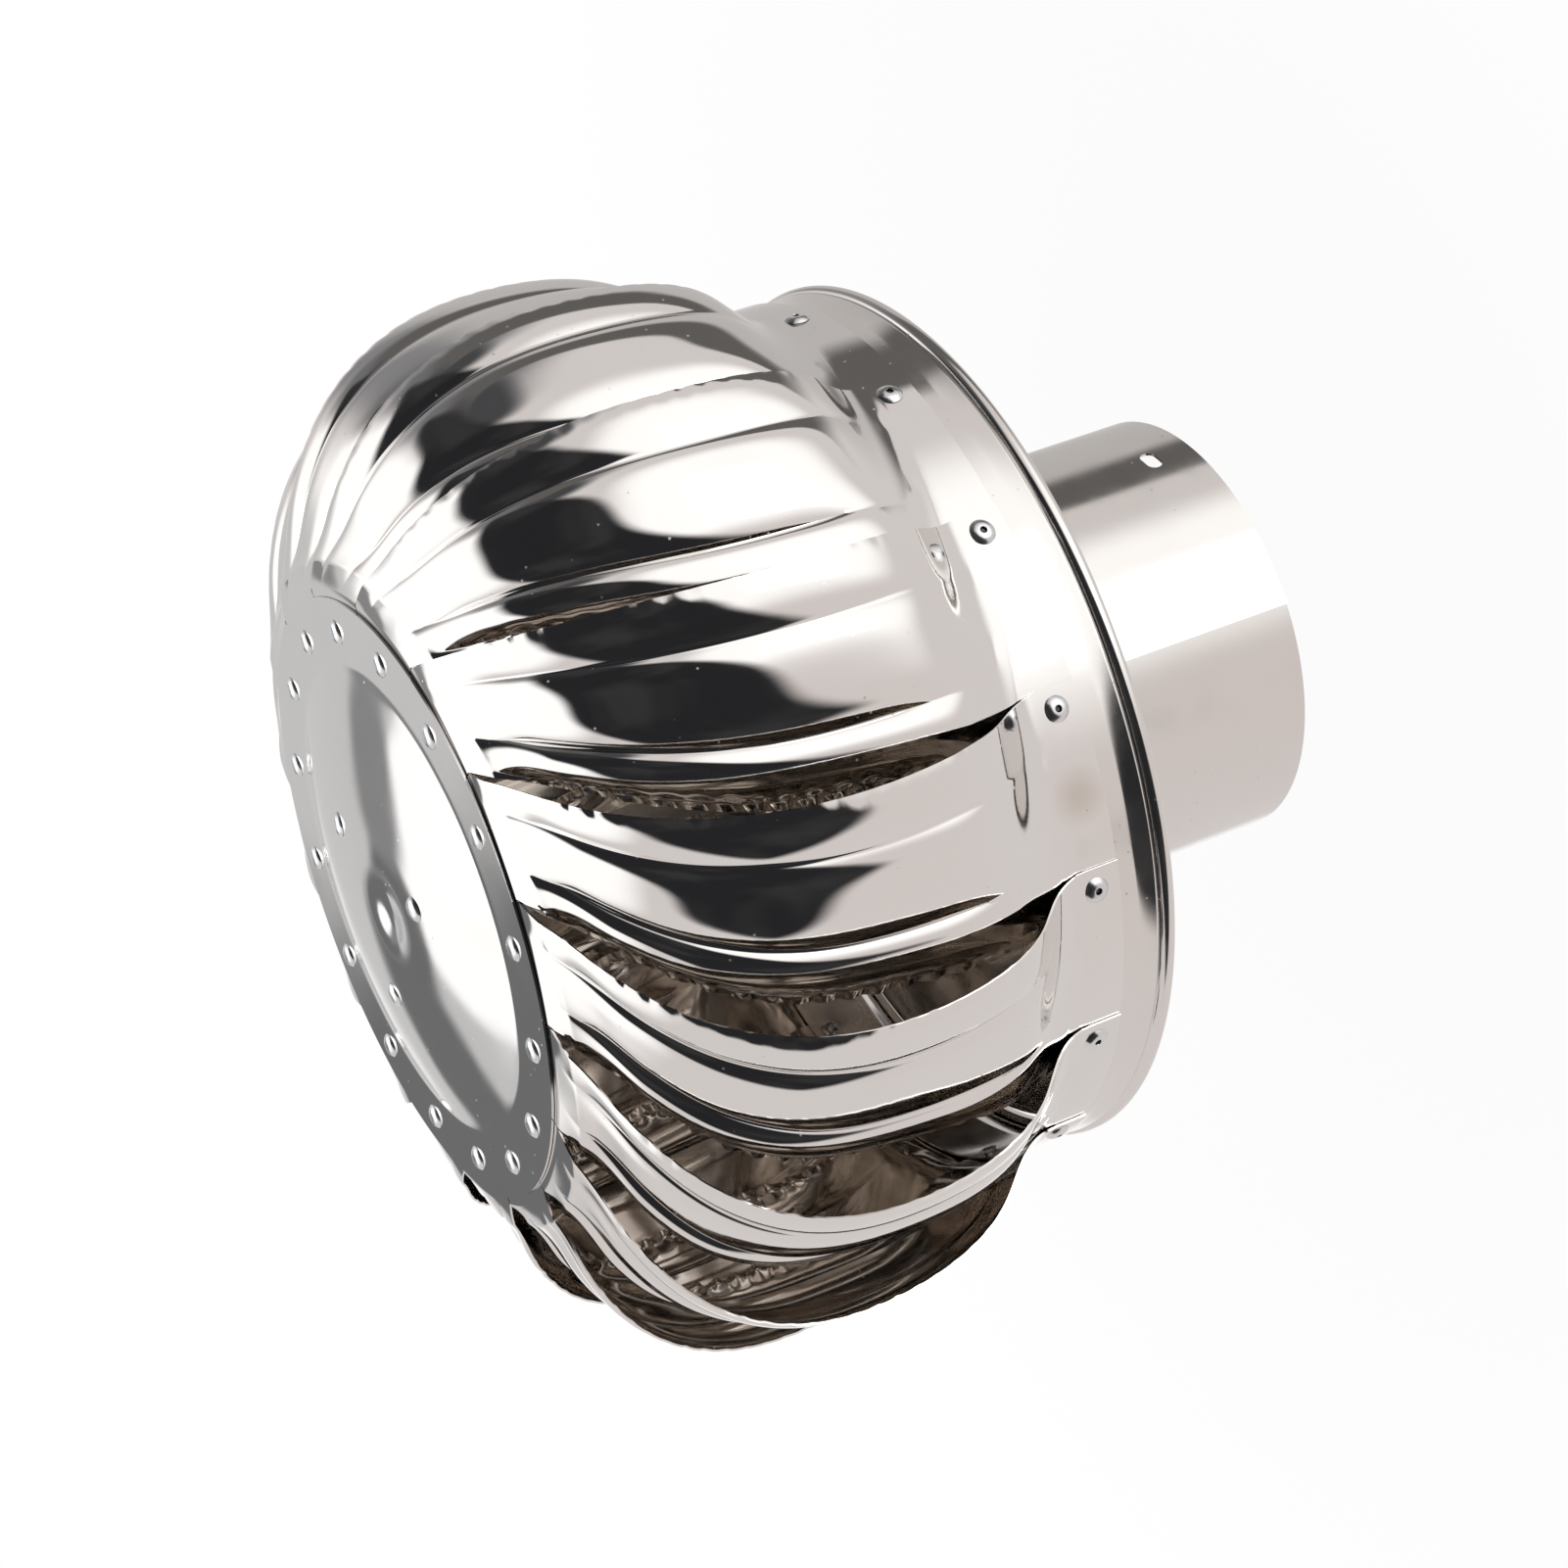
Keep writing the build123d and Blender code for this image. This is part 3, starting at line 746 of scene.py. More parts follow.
    def shell(self) -> tuple[np.ndarray, np.ndarray]:
        """Closed sheet: the surface moved half the thickness each way, joined round its rim.

        Returns:
            Vertices in millimetres and faces.
        """
        middle = self.surface()
        rows, columns = middle.shape[:2]
        normal = unit(np.cross(np.gradient(middle, axis=1), np.gradient(middle, axis=0)))
        outer = middle + normal * self.sheet / 2.0
        inner = middle - normal * self.sheet / 2.0
        faces = grid_faces(rows, columns)
        count = rows * columns
        wall = rim_wall(grid_rim(rows, columns), count)
        points = np.concatenate([outer.reshape(-1, 3), inner.reshape(-1, 3)])
        return points, np.concatenate([faces, faces[:, ::-1] + count, wall])

    def build(self) -> list[bpy.types.Object]:
        """Make all blades, each turned one pitch further round.

        Returns:
            The blade objects.
        """
        points, faces = self.shell()
        pieces = []
        for number in range(BLADES):
            cosine, sine = math.cos(number * PITCH), math.sin(number * PITCH)
            turned = points @ np.array([[cosine, sine, 0.0], [-sine, cosine, 0.0], [0.0, 0.0, 1.0]])
            piece = make_piece(f"blade_sheet_{number + 1:02d}", turned * MM, faces, self.finish)
            # Inner faces take the darker, warmer steel: painted shade and painted warm reflection between the
            # blades.
            piece.data.materials.append(self.inner_painted_shade)
            side = np.zeros(len(faces), dtype=np.int32)
            side[self.face_count : 2 * self.face_count] = 1
            piece.data.polygons.foreach_set("material_index", side)
            keep_edges_sharp(piece, 50.0)
            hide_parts(f"blade_{number + 1:02d}")
            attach(piece, "rotor")
            pieces.append(piece)
        return pieces


# --------------------------------------------------------------------------- spun pieces
@dataclass
class TopCap:
    """Cap with a flat rim and a raised dome, and the seats of its rivets.

    ease holds how far inside the dome's foot the fine points start, how far inside it the
    dome starts to ease off, and how far outside it the rim is flat.
    """

    finish: bpy.types.Material
    radius: float = 77.0
    rim_width: float = 17.0
    height: float = 225.9
    dome_rise: float = 8.6
    sheet: float = 0.6
    fillet: float = 0.35
    ease: tuple[float, float, float] = (9.0, 1.0, 4.0)
    rivet_radius: float = 68.5
    dome_rivet_radius: float = 25.5
    dome_rivet_angle: float = -38.8
    dent_place: tuple[float, float] = (-7.0, -1.0)
    dent_size: float = 5.5
    dent_depth: float = 1.4
    turns: int = 192

    def middle_line(self) -> np.ndarray:
        """Middle line of the sheet from the centre to the rim.

        The dome follows a sphere and eases into the flat rim over a few millimetres.

        Returns:
            Points as (radius, height).
        """
        flat = self.radius - self.rim_width
        fine, inside, outside = self.ease
        middle = np.linspace(0.0, flat - fine, 60, endpoint=False)
        near = np.linspace(flat - fine, flat + outside + 1.0, 70)
        radius = np.concatenate([middle, near, np.linspace(flat + outside + 1.5, self.radius, 12)])
        reach = np.minimum(radius, flat + 2.0 * outside)
        dome = self.dome_rise - self.ball + np.sqrt(self.ball**2 - reach**2)
        rise = np.where(radius < flat + outside, 0.5 * (dome + np.sqrt(dome**2 + self.fillet**2)), 0.0)
        rise = rise * (1.0 - smooth_step(radius, flat - inside, flat + outside))
        return np.stack([radius, self.height - self.sheet / 2.0 + rise], axis=1)

    @property
    def ball(self) -> float:
        """Radius of the dome's sphere."""
        flat = self.radius - self.rim_width
        return (flat**2 + self.dome_rise**2) / (2.0 * self.dome_rise)

    def dome_seats(self) -> list[Seat]:
        """Seats of the three dome rivets, square to the dome.

        Returns:
            Place and direction of each seat.
        """
        centre = np.array([0.0, 0.0, self.height + self.dome_rise - self.ball])
        lean = math.asin(self.dome_rivet_radius / self.ball)
        seats = []
        for number in range(3):
            angle = math.radians(self.dome_rivet_angle + 120.0 * number)
            level = np.array([math.cos(angle), math.sin(angle), 0.0])
            out = level * math.sin(lean) + np.array([0.0, 0.0, math.cos(lean)])
            seats.append((centre + out * (self.ball + RIVET_LIFT), out))
        return seats

    def rim_seats(self) -> list[Seat]:
        """Seats of the rim's rivets, each midway between two ring rivets."""
        angles = np.arange(BLADES) * PITCH + PITCH / 2.0
        return around(self.rivet_radius, self.height + RIVET_LIFT, angles, True)

    def dent(self, points: np.ndarray) -> np.ndarray:
        """Drop of the shallow dent near the dome's middle: depth * exp(-d^2 / 2 size^2).

        Args:
            points: Places on the cap.

        Returns:
            Drop in millimetres at each place.
        """
        reach = np.linalg.norm(points[..., :2] - np.array(self.dent_place), axis=-1)
        return self.dent_depth * np.exp(-((reach / self.dent_size) ** 2) / 2.0)

    def build(self) -> bpy.types.Object:
        """Make the cap sheet.

        Returns:
            The cap object.
        """
        outline = thick_line(self.middle_line(), -self.sheet)
        outline[0, 0] = outline[-1, 0] = 2.0 * AXIS_HOLE
        points, _ = lathe(outline, self.turns)
        points[..., 2] -= self.dent(points)
        quads = grid_faces(self.turns, len(outline), wrap_rows=True)
        faces = quads.tolist() + pole_lids(self.turns, len(outline)).tolist()
        cap = make_piece("top_cap_sheet", points * MM, faces, self.finish)
        keep_edges_sharp(cap, 45.0)
        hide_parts("top_cap")
        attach(cap, "rotor")
        return cap


@dataclass
class BaseRing:
    """Rotor's lower ring: drum band, cove and rolled bead.

    The cove's start and end, its reach and the pinch's end are shares of the bead.
    """

    finish: bpy.types.Material
    radius: float = 112.2
    top: float = 104.0
    bottom: float = 78.3
    bead: float = 2.1
    pinch: float = 0.2
    cove_start: float = 3.6
    cove_end: float = 1.35
    cove_reach: float = 0.4
    pinch_end: float = 0.8
    roll_angles: tuple[float, float] = (52.0, -250.0)
    sheet: float = 0.6
    turns: int = 256

    def build(self) -> bpy.types.Object:
        """Make the ring as one turned sheet.

        Returns:
            The ring object.
        """
        inner = self.radius - self.sheet / 2.0
        bead_z = self.bottom + self.bead
        start, end = bead_z + self.cove_start * self.bead, bead_z + self.cove_end * self.bead
        band = np.stack([np.full(30, inner), np.linspace(self.top, start, 30)], axis=1)
        cove_z = np.linspace(start, end, 24)[1:]
        share = (start - cove_z) / (start - end)
        reach = self.cove_reach * self.bead
        cove = np.stack([inner + reach * share**1.25, cove_z], axis=1)
        dip = np.linspace(0.0, 1.0, 10)[1:]
        pinch_r = inner + reach - self.pinch * np.sin(np.pi * dip) ** 2
        pinch = np.stack([pinch_r, end + (bead_z + self.pinch_end * self.bead - end) * dip], axis=1)
        roll = arc_line((self.radius, bead_z), self.bead - self.sheet / 2.0, *self.roll_angles, 48)
        line = np.concatenate([band, cove, pinch, roll])
        points, faces = lathe(thick_line(line, self.sheet)[::-1], self.turns)
        ring = make_piece("base_ring_sheet", points * MM, faces, self.finish)
        keep_edges_sharp(ring, 50.0)
        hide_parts("base_ring")
        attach(ring, "rotor")
        return ring


@dataclass
class Neck:
    """Rolled neck tube with its lap seam, rolled-in stop bead and fixing slots."""

    finish: bpy.types.Material
    # Near-black steel on the seam's narrow edge: a painted shadow line.
    edge_painted_shade: bpy.types.Material
    radius: float = 56.0
    height: float = 92.0
    sheet: float = 0.6
    stop_height: float = 63.0
    stop_depth: float = 1.2
    stop_length: float = 5.0
    seam_angle: float = -153.5
    seam_width: float = 7.0
    seam_thinning: float = 0.9
    seam_sink: float = 0.02
    seam_grid: tuple[int, int] = (14, 24)
    slots: int = 2
    slot_angle: float = -104.2
    slot_height: float = 12.2
    slot_length: float = 7.0
    slot_width: float = 4.2
    window: float = 6.0
    cells: int = 10
    fill_shares: tuple[float, ...] = (0.35, 0.7, 1.0)
    round_steps: int = 136
    foot_steps: int = 4
    wall_steps: tuple[int, int, int] = (12, 12, 10)

    def wall_radius(self, height: np.ndarray) -> np.ndarray:
        """Middle of the wall, drawn in along a cosine at the stop bead.

        Args:
            height: Heights in millimetres.

        Returns:
            Radius at each height.
        """
        along = np.clip((height - self.stop_height + self.stop_length) / self.stop_length, 0.0, 1.0)
        return self.radius - self.sheet / 2.0 - self.stop_depth * 0.5 * (1.0 - np.cos(2.0 * np.pi * along))

    def wall_normal(self, points: np.ndarray) -> np.ndarray:
        """Outward normals of the wall, leaning where the bead changes its radius.

        Args:
            points: Places on the middle of the wall.

        Returns:
            One unit vector for each.
        """
        slope = (self.wall_radius(points[:, 2] + 0.01) - self.wall_radius(points[:, 2] - 0.01)) / 0.02
        out = unit(points[:, :2])
        return unit(np.concatenate([out, -slope[:, None]], axis=1))

    def on_wall(self, along: np.ndarray, height: np.ndarray) -> np.ndarray:
        """Roll flat places onto the tube.

        Args:
            along: Distance round the outside from angle zero.
            height: Height.

        Returns:
            Points in millimetres.
        """
        angle = along / self.radius
        radius = self.wall_radius(height)
        return np.stack([radius * np.cos(angle), radius * np.sin(angle), height], axis=-1)

    def build(self) -> list[bpy.types.Object]:
        """Make the tube and the outer layer of its seam.

        The wall is a grid with a square window round each slot. Rings of points on the
        straight lines from the window's edge to the slot's outline fill it.

        Returns:
            The two objects.
        """
        step = 2.0 * math.pi * self.radius / self.slots
        inside = np.linspace(-self.window, self.window, self.cells + 1)
        between = np.linspace(self.window, step - self.window, self.round_steps, endpoint=False)
        local = np.concatenate([inside[:-1], between])
        start = math.radians(self.slot_angle) * self.radius
        along = np.concatenate([start + number * step + local for number in range(self.slots)])
        low = np.linspace(0.0, self.slot_height - self.window, self.foot_steps, endpoint=False)
        mid = self.slot_height + inside
        stop = self.stop_height - self.stop_length
        bands = zip((mid[-1], stop, self.stop_height), (stop, self.stop_height, self.height), self.wall_steps)
        height = np.concatenate([low, mid, *(np.linspace(*band)[1:] for band in bands)])
        wide, tall = np.meshgrid(along, height, indexing="ij")
        points = [self.on_wall(wide, tall).reshape(-1, 3)]
        faces = grid_faces(len(along), len(height), wrap_rows=True)
        row, column = np.divmod(faces[:, 0], len(height))
        in_window = (row % len(local) < self.cells) & (column >= len(low)) & (column < len(low) + self.cells)
        faces = faces[~in_window].tolist()
        foot = np.arange(len(along)) * len(height)
        rims = [foot, (foot + len(height) - 1)[::-1]]
        side = self.cells + 1
        loop = np.stack(np.divmod(grid_rim(side, side), side)[::-1], axis=1)
        flat = (loop - self.cells / 2.0) * (2.0 * self.window / self.cells)
        outline = self.obround(np.arctan2(flat[:, 1], flat[:, 0]))
        count = len(along) * len(height)
        for number in range(self.slots):
            before = ((number * len(local) + loop[:, 0]) % len(along)) * len(height) + len(low) + loop[:, 1]
            for share in self.fill_shares:
                place = flat * (1.0 - share) + outline * share
                turned = start + number * step + place[:, 0]
                points.append(self.on_wall(turned, self.slot_height + place[:, 1]))
                after = count + np.arange(len(loop))
                count += len(loop)
                ring = [before, after, np.roll(after, -1), np.roll(before, -1)]
                faces += np.stack(ring, axis=1).tolist()
                before = after
            rims.append(after[::-1])
        middle = np.concatenate(points)
        normal = self.wall_normal(middle)
        size = len(middle)
        shell = np.concatenate([middle + normal * self.sheet / 2.0, middle - normal * self.sheet / 2.0])
        outer = np.array(faces)
        sheets = np.concatenate([outer[:, ::-1], outer + size])
        walls = [rim_wall(rim, size) for rim in rims]
        tube = make_piece("neck_tube_sheet", shell * MM, np.concatenate([sheets, *walls]), self.finish)
        self.shade(tube, np.concatenate([normal, -normal])[sheets.ravel()])
        pieces = [tube, self.seam(stop)]
        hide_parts("neck_tube")
        for piece in pieces:
            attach(piece, "base")
        return pieces

    @staticmethod
    def shade(tube: bpy.types.Object, skin: np.ndarray) -> None:
        """Shade the sheets by the wall's own normals, and the narrow edges flat.

        Args:
            tube: The tube object, its sheets' faces first.
            skin: Normal at each corner of those faces.
        """
        normals = np.zeros((len(tube.data.polygons), 3))
        tube.data.polygons.foreach_get("normal", normals.ravel())
        corners = np.repeat(normals, 4, axis=0)
        corners[: len(skin)] = skin
        tube.data.normals_split_custom_set(corners.tolist())

    def obround(self, bearing: np.ndarray) -> np.ndarray:
        """Outline of a slot with round ends, longer round the tube.

        Args:
            bearing: Directions from the slot's centre in radians.

        Returns:
            Points of the outline in those directions.
        """
        half, straight = self.slot_width / 2.0, (self.slot_length - self.slot_width) / 2.0
        cosine, sine = np.cos(bearing), np.sin(bearing)
        reach_flat = half / np.maximum(np.abs(sine), 1e-6)
        across = straight * np.abs(cosine)
        reach_round = across + np.sqrt(np.maximum(across**2 - straight**2 + half**2, 0.0))
        reach = np.where(reach_flat * np.abs(cosine) <= straight, reach_flat, reach_round)
        return np.stack([reach * cosine, reach * sine], axis=1)

    def seam(self, top: float) -> bpy.types.Object:
        """Outer layer of the lap seam: full sheet at its free edge, thinning away from it.

        Args:
            top: Height where the layer ends.

        Returns:
            The seam object.
        """
        rows, columns = self.seam_grid
        share = np.linspace(0.0, 1.0, rows)
        angle = math.radians(self.seam_angle) + (share - 0.5) * self.seam_width / self.radius
        turned, tall = np.meshgrid(angle, np.linspace(0.0, top, columns), indexing="ij")
        lift = self.sheet * (1.0 - self.seam_thinning * share)[:, None]
        layers = []
        for radius in (self.radius + lift, self.radius - self.seam_sink):
            layers.append(np.stack([radius * np.cos(turned), radius * np.sin(turned), tall], axis=-1))
        faces = grid_faces(rows, columns)
        size = rows * columns
        shell = np.concatenate([faces, faces[:, ::-1] + size, rim_wall(grid_rim(rows, columns), size)])
        piece = make_piece("neck_lap_seam", np.stack(layers) * MM, shell[:, ::-1], self.finish)
        # The seam's narrow edge faces take the near-black steel: a painted shadow line along the lap.
        piece.data.materials.append(self.edge_painted_shade)
        edge = np.arange(len(piece.data.polygons)) >= 2 * len(faces)
        piece.data.polygons.foreach_set("material_index", edge.astype(np.int32))
        keep_edges_sharp(piece, 50.0)
        return piece


# --------------------------------------------------------------------------- rivets
@dataclass
class Rivets:
    """Domed rivet heads with the mandrel's hole, one on each stated seat.

    hole_line runs from the centre of the hole to its lip, as shares of the hole's radius
    against heights; the tail's lines are its shares against depths below the sheets.
    """

    finish: bpy.types.Material
    # Near-black steel in the hole: the mandrel's end, darkened further as painted shade in the hole.
    mandrel_and_shade_finish: bpy.types.Material
    head: float = 3.2
    rise: float = 1.1
    hole: float = 0.9
    shank: float = 1.6
    tail: float = 2.4
    seat_gap: float = 0.02
    hole_line: tuple[tuple[float, float], ...] = ((0.0, 0.45), (0.55, 0.5), (0.62, 0.1), (0.85, 0.1))
    hole_lip: float = 0.92
    tail_line: tuple[tuple[float, float], ...] = ((1.0, 0.05), (0.9, 0.7), (0.6, 0.98), (0.0, 1.0))
    turns: int = 28

    def outline(self, grip: float, plugged: bool) -> np.ndarray:
        """Half outline of one rivet, seat at height zero.

        Args:
            grip: Thickness of the sheets between head and tail.
            plugged: Whether the mandrel's hole is filled level, as on the cap.

        Returns:
            Points as (radius, height), from the top centre down to the tail's centre.
        """
        share = np.linspace(0.0, 1.0, 12)
        width = self.hole + (self.head - self.hole) * share
        crown = np.stack([width, self.rise * (1.0 - share**2.4)], axis=1)
        if plugged:
            centre = np.array([[0.0, self.rise * 1.02], [self.hole * 0.6, self.rise * 1.01]])
        else:
            lip = [[self.hole * self.hole_lip, self.rise - 0.1]]
            centre = np.concatenate([np.array(self.hole_line) * (self.hole, 1.0), lip])
        shank = [[self.head, -self.seat_gap], [self.shank, -self.seat_gap], [self.shank, -grip]]
        tail = np.array(self.tail_line) * (self.tail, -1.0) - (0.0, grip)
        return np.concatenate([centre, crown, shank, tail])

    def place(
        self, name: str, seats: Sequence[Seat], grip: float, plugged: bool, node: str, body: str
    ) -> bpy.types.Object:
        """Make one object holding a rivet on each seat.

        Args:
            name: Object name.
            seats: Place and outward direction of each seat, in millimetres.
            grip: Thickness of the sheets.
            plugged: Whether the hole is filled.
            node: Frame node it stands for.
            body: Body it rides on.

        Returns:
            The rivets object.
        """
        half = self.outline(grip, plugged)
        half[:, 0] = np.maximum(half[:, 0], AXIS_HOLE)
        local = lathe(half, self.turns)[0].reshape(-1, 3)
        quads = grid_faces(self.turns, len(half), wrap_rows=True)
        lids = pole_lids(self.turns, len(half))
        points, faces = [], []
        for number, (seat, out) in enumerate(seats):
            side = unit(np.cross([0.0, 0.0, 1.0] if abs(out[2]) < 0.9 else [1.0, 0.0, 0.0], out))
            frame = np.stack([side, np.cross(out, side), out])
            points.append(local @ frame + seat)
            shift = number * len(local)
            faces += (quads + shift).tolist() + (lids + shift).tolist()
        piece = make_piece(name, np.concatenate(points) * MM, faces, self.finish)
        # The hole's faces take the near-black steel: the mandrel's end plus painted shade in the hole.
        if not plugged:
            piece.data.materials.append(self.mandrel_and_shade_finish)
            index = np.arange(len(faces)) % (len(quads) + len(lids))
            in_hole = index % (len(half) - 1) < len(self.hole_line)
            mandrel_and_shade = ((index < len(quads)) & in_hole) | (index == len(quads))
            piece.data.polygons.foreach_set("material_index", mandrel_and_shade.astype(np.int32))
        keep_edges_sharp(piece, 40.0)
        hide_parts(node)
        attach(piece, body)
        return piece


def around(radius: float, height: float, angles: np.ndarray, upright: bool) -> list[Seat]:
    """Seats spaced round the axis.

    Args:
        radius: Distance from the axis.
        height: Height above the neck's end.
        angles: Angles in radians.
        upright: True for heads facing up, False for heads facing outward.

    Returns:
        Place and direction of each seat.
    """
    seats = []
    up = np.array([0.0, 0.0, 1.0])
    for angle in angles:
        out = np.array([math.cos(angle), math.sin(angle), 0.0])
        seats.append((out * radius + up * height, up if upright else out))
    return seats


# --------------------------------------------------------------------------- studio
@dataclass(frozen=True)
class RoomPatch:
    """Soft round part of the room, placed by angles from the front."""

    turn: float
    lift: float
    inner: float
    outer: float
    color: tuple[float, float, float]

    def direction(self) -> tuple[float, float, float]:
        """Its direction as right, up and front parts."""
        turn, lift = math.radians(self.turn), math.radians(self.lift)
        return math.sin(turn) * math.cos(lift), math.sin(lift), math.cos(turn) * math.cos(lift)


@dataclass
class Studio:
    """Camera, pale floor, lamps and the surroundings that the metal mirrors.

    place and rotation are the camera's in millimetres and radians. Directions hold right,
    up and front parts. A pair of limits holds where a soft edge starts and where it ends.
    """

    lens_px: float = 3891.0
    frame_px: float = 1601.0
    place: tuple[float, float, float] = (-840.82, -304.52, 489.19)
    turn: float = 6.9
    rotation: tuple[float, float, float] = (0.00802892, -1.98780389, -0.45494463)
    room: tuple[float, float, float] = (0.74, 0.705, 0.695)
    dark: tuple[float, float, float] = (0.021, 0.0215, 0.024)
    haze: tuple[float, float, float] = (0.040, 0.039, 0.040)
    patches: tuple[RoomPatch, ...] = (
        RoomPatch(42.0, 30.0, 26.0, 46.0, (1.24, 1.23, 1.22)),
        RoomPatch(-95.0, -12.0, 27.0, 44.0, (1.24, 1.24, 1.24)),
        RoomPatch(-92.0, 52.0, 14.0, 38.0, (0.18, 0.18, 0.19)),
        RoomPatch(-140.0, -10.0, 16.0, 30.0, (0.62, 0.62, 0.62)),
        RoomPatch(-118.0, -17.0, 11.0, 13.5, (1.24, 1.24, 1.24)),
        RoomPatch(-135.0, -15.0, 4.0, 6.5, (0.17, 0.17, 0.175)),
        RoomPatch(-130.0, -6.5, 4.5, 8.0, (0.27, 0.27, 0.275)),
        RoomPatch(-145.0, -20.0, 6.5, 10.5, (0.17, 0.17, 0.175)),
        RoomPatch(-142.0, 40.0, 8.0, 26.0, (0.26, 0.26, 0.27)),
        RoomPatch(-178.0, -12.0, 8.0, 20.0, (1.05, 1.05, 1.05)),
        RoomPatch(62.0, -28.0, 18.0, 48.0, (0.74, 0.69, 0.675)),
        RoomPatch(-58.0, 48.0, 8.0, 22.0, (0.07, 0.07, 0.075)),
        RoomPatch(175.0, 42.0, 14.0, 38.0, (0.55, 0.53, 0.52)),
    )
    haze_scale: float = 1.6
    haze_limits: tuple[float, float] = (0.42, 0.68)
    strip: tuple[float, float, float] = (0.416, 0.131, 0.90)
    strip_limits: tuple[tuple[float, float], ...] = ((-0.36, -0.22), (0.12, 0.07))
    strip_lift: tuple[float, float] = (0.62, 0.82)
    strip_color: tuple[float, float, float] = (0.13, 0.125, 0.12)
    dark_top: tuple[float, float] = (0.93, 0.80)
    dark_planes: tuple[tuple[tuple[float, float, float], float, float], ...] = (
        ((0.436, 0.361, 0.824), -0.26, -0.12),
        ((-0.57, -0.75, 0.334), -0.06, 0.07),
        ((-0.469, 0.0, 0.883), -0.08, 0.06),
    )
    floor_size: float = 0.46
    floor_sides: int = 96
    floor_place: float = -0.0005
    floor_fade: tuple[float, float] = (0.3, 0.98)
    floor_glow: float = 0.955
    lamp_target: tuple[float, float, float] = (0.0, 0.0, 0.13)
    lamp_size: float = 0.7

    def camera(self) -> bpy.types.Object:
        """Make the scene's camera from its place and rotation vector.

        Returns:
            The camera object.
        """
        axis = np.array(self.rotation)
        angle = float(np.linalg.norm(axis))
        to_camera = np.array(Matrix.Rotation(angle, 3, axis / angle))
        facing = to_camera.T @ np.diag([1.0, -1.0, -1.0])
        swing = np.array(Matrix.Rotation(math.radians(self.turn), 3, "Z"))
        world = Matrix((swing @ facing).tolist()).to_4x4()
        world.translation = (swing @ np.array(self.place) * MM).tolist()
        lens = bpy.data.cameras.new("studio_camera")
        lens.sensor_width = 36.0
        lens.lens = 36.0 * self.lens_px / self.frame_px
        lens.clip_end = 50.0
        camera = bpy.data.objects.new("studio_camera", lens)
        camera.matrix_world = world
        bpy.context.scene.collection.objects.link(camera)
        bpy.context.scene.camera = camera
        return camera

    def surroundings(self, camera: bpy.types.Object) -> None:
        """White room with soft lighter and darker parts and a dark side.

        Each part fades with the angle from its own fixed direction. The dark side is
        the wedge behind all the dark planes and below dark_top. The dark strip stands
        high up, between two limits along its own direction.

        Args:
            camera: Gives the room's fixed right, up and front directions.
        """
        axes = np.array(camera.matrix_world.to_3x3())
        world = bpy.data.worlds.new("white_room")
        bpy.context.scene.world = world
        world.use_nodes = True
        tree = world.node_tree
        tree.nodes.clear()
        place = add_node(tree, "TexCoord").outputs["Generated"]

        def along(direction: Sequence[float]) -> Socket:
            """Share of the ray's direction along a fixed one."""
            fixed = (axes @ unit(np.array(direction, dtype=float))).tolist()
            return add_node(tree, "VectorMath", {0: place, 1: fixed}, operation="DOT_PRODUCT").outputs[1]

        def ramp(value: Socket, low: float, high: float) -> Socket:
            """Smooth rise from 0 to 1, or fall when low is above high."""
            falls = float(low > high)
            return remap(tree, value, min(low, high), max(low, high), falls, 1.0 - falls, "SMOOTHSTEP")

        color = (*self.room, 1.0)
        for patch in self.patches:
            edge, core = (math.cos(math.radians(angle)) for angle in (patch.outer, patch.inner))
            color = paint(tree, color, ramp(along(patch.direction()), edge, core), patch.color)
        lift = along((0.0, 1.0, 0.0))
        strip = ramp(lift, *self.strip_lift)
        for limits in self.strip_limits:
            strip = multiply(tree, strip, ramp(along(self.strip), *limits))
        color = paint(tree, color, strip, self.strip_color)
        side = ramp(lift, *self.dark_top)
        for plane, start, end in self.dark_planes:
            side = multiply(tree, side, ramp(along(plane), start, end))
        color = paint(tree, color, side, self.dark)
        cloud = ramp(noise(tree, place, self.haze_scale, 2.0), *self.haze_limits)
        color = paint(tree, color, multiply(tree, side, cloud), self.haze)
        room = add_node(tree, "Background", {"Color": color}).outputs[0]
        plain = add_node(tree, "Background", {"Color": (1.0, 1.0, 1.0, 1.0)}).outputs[0]
        seen = add_node(tree, "LightPath").outputs["Is Camera Ray"]
        mix = add_node(tree, "MixShader", {0: seen, 1: room, 2: plain})
        add_node(tree, "OutputWorld", {"Surface": mix.outputs[0]})

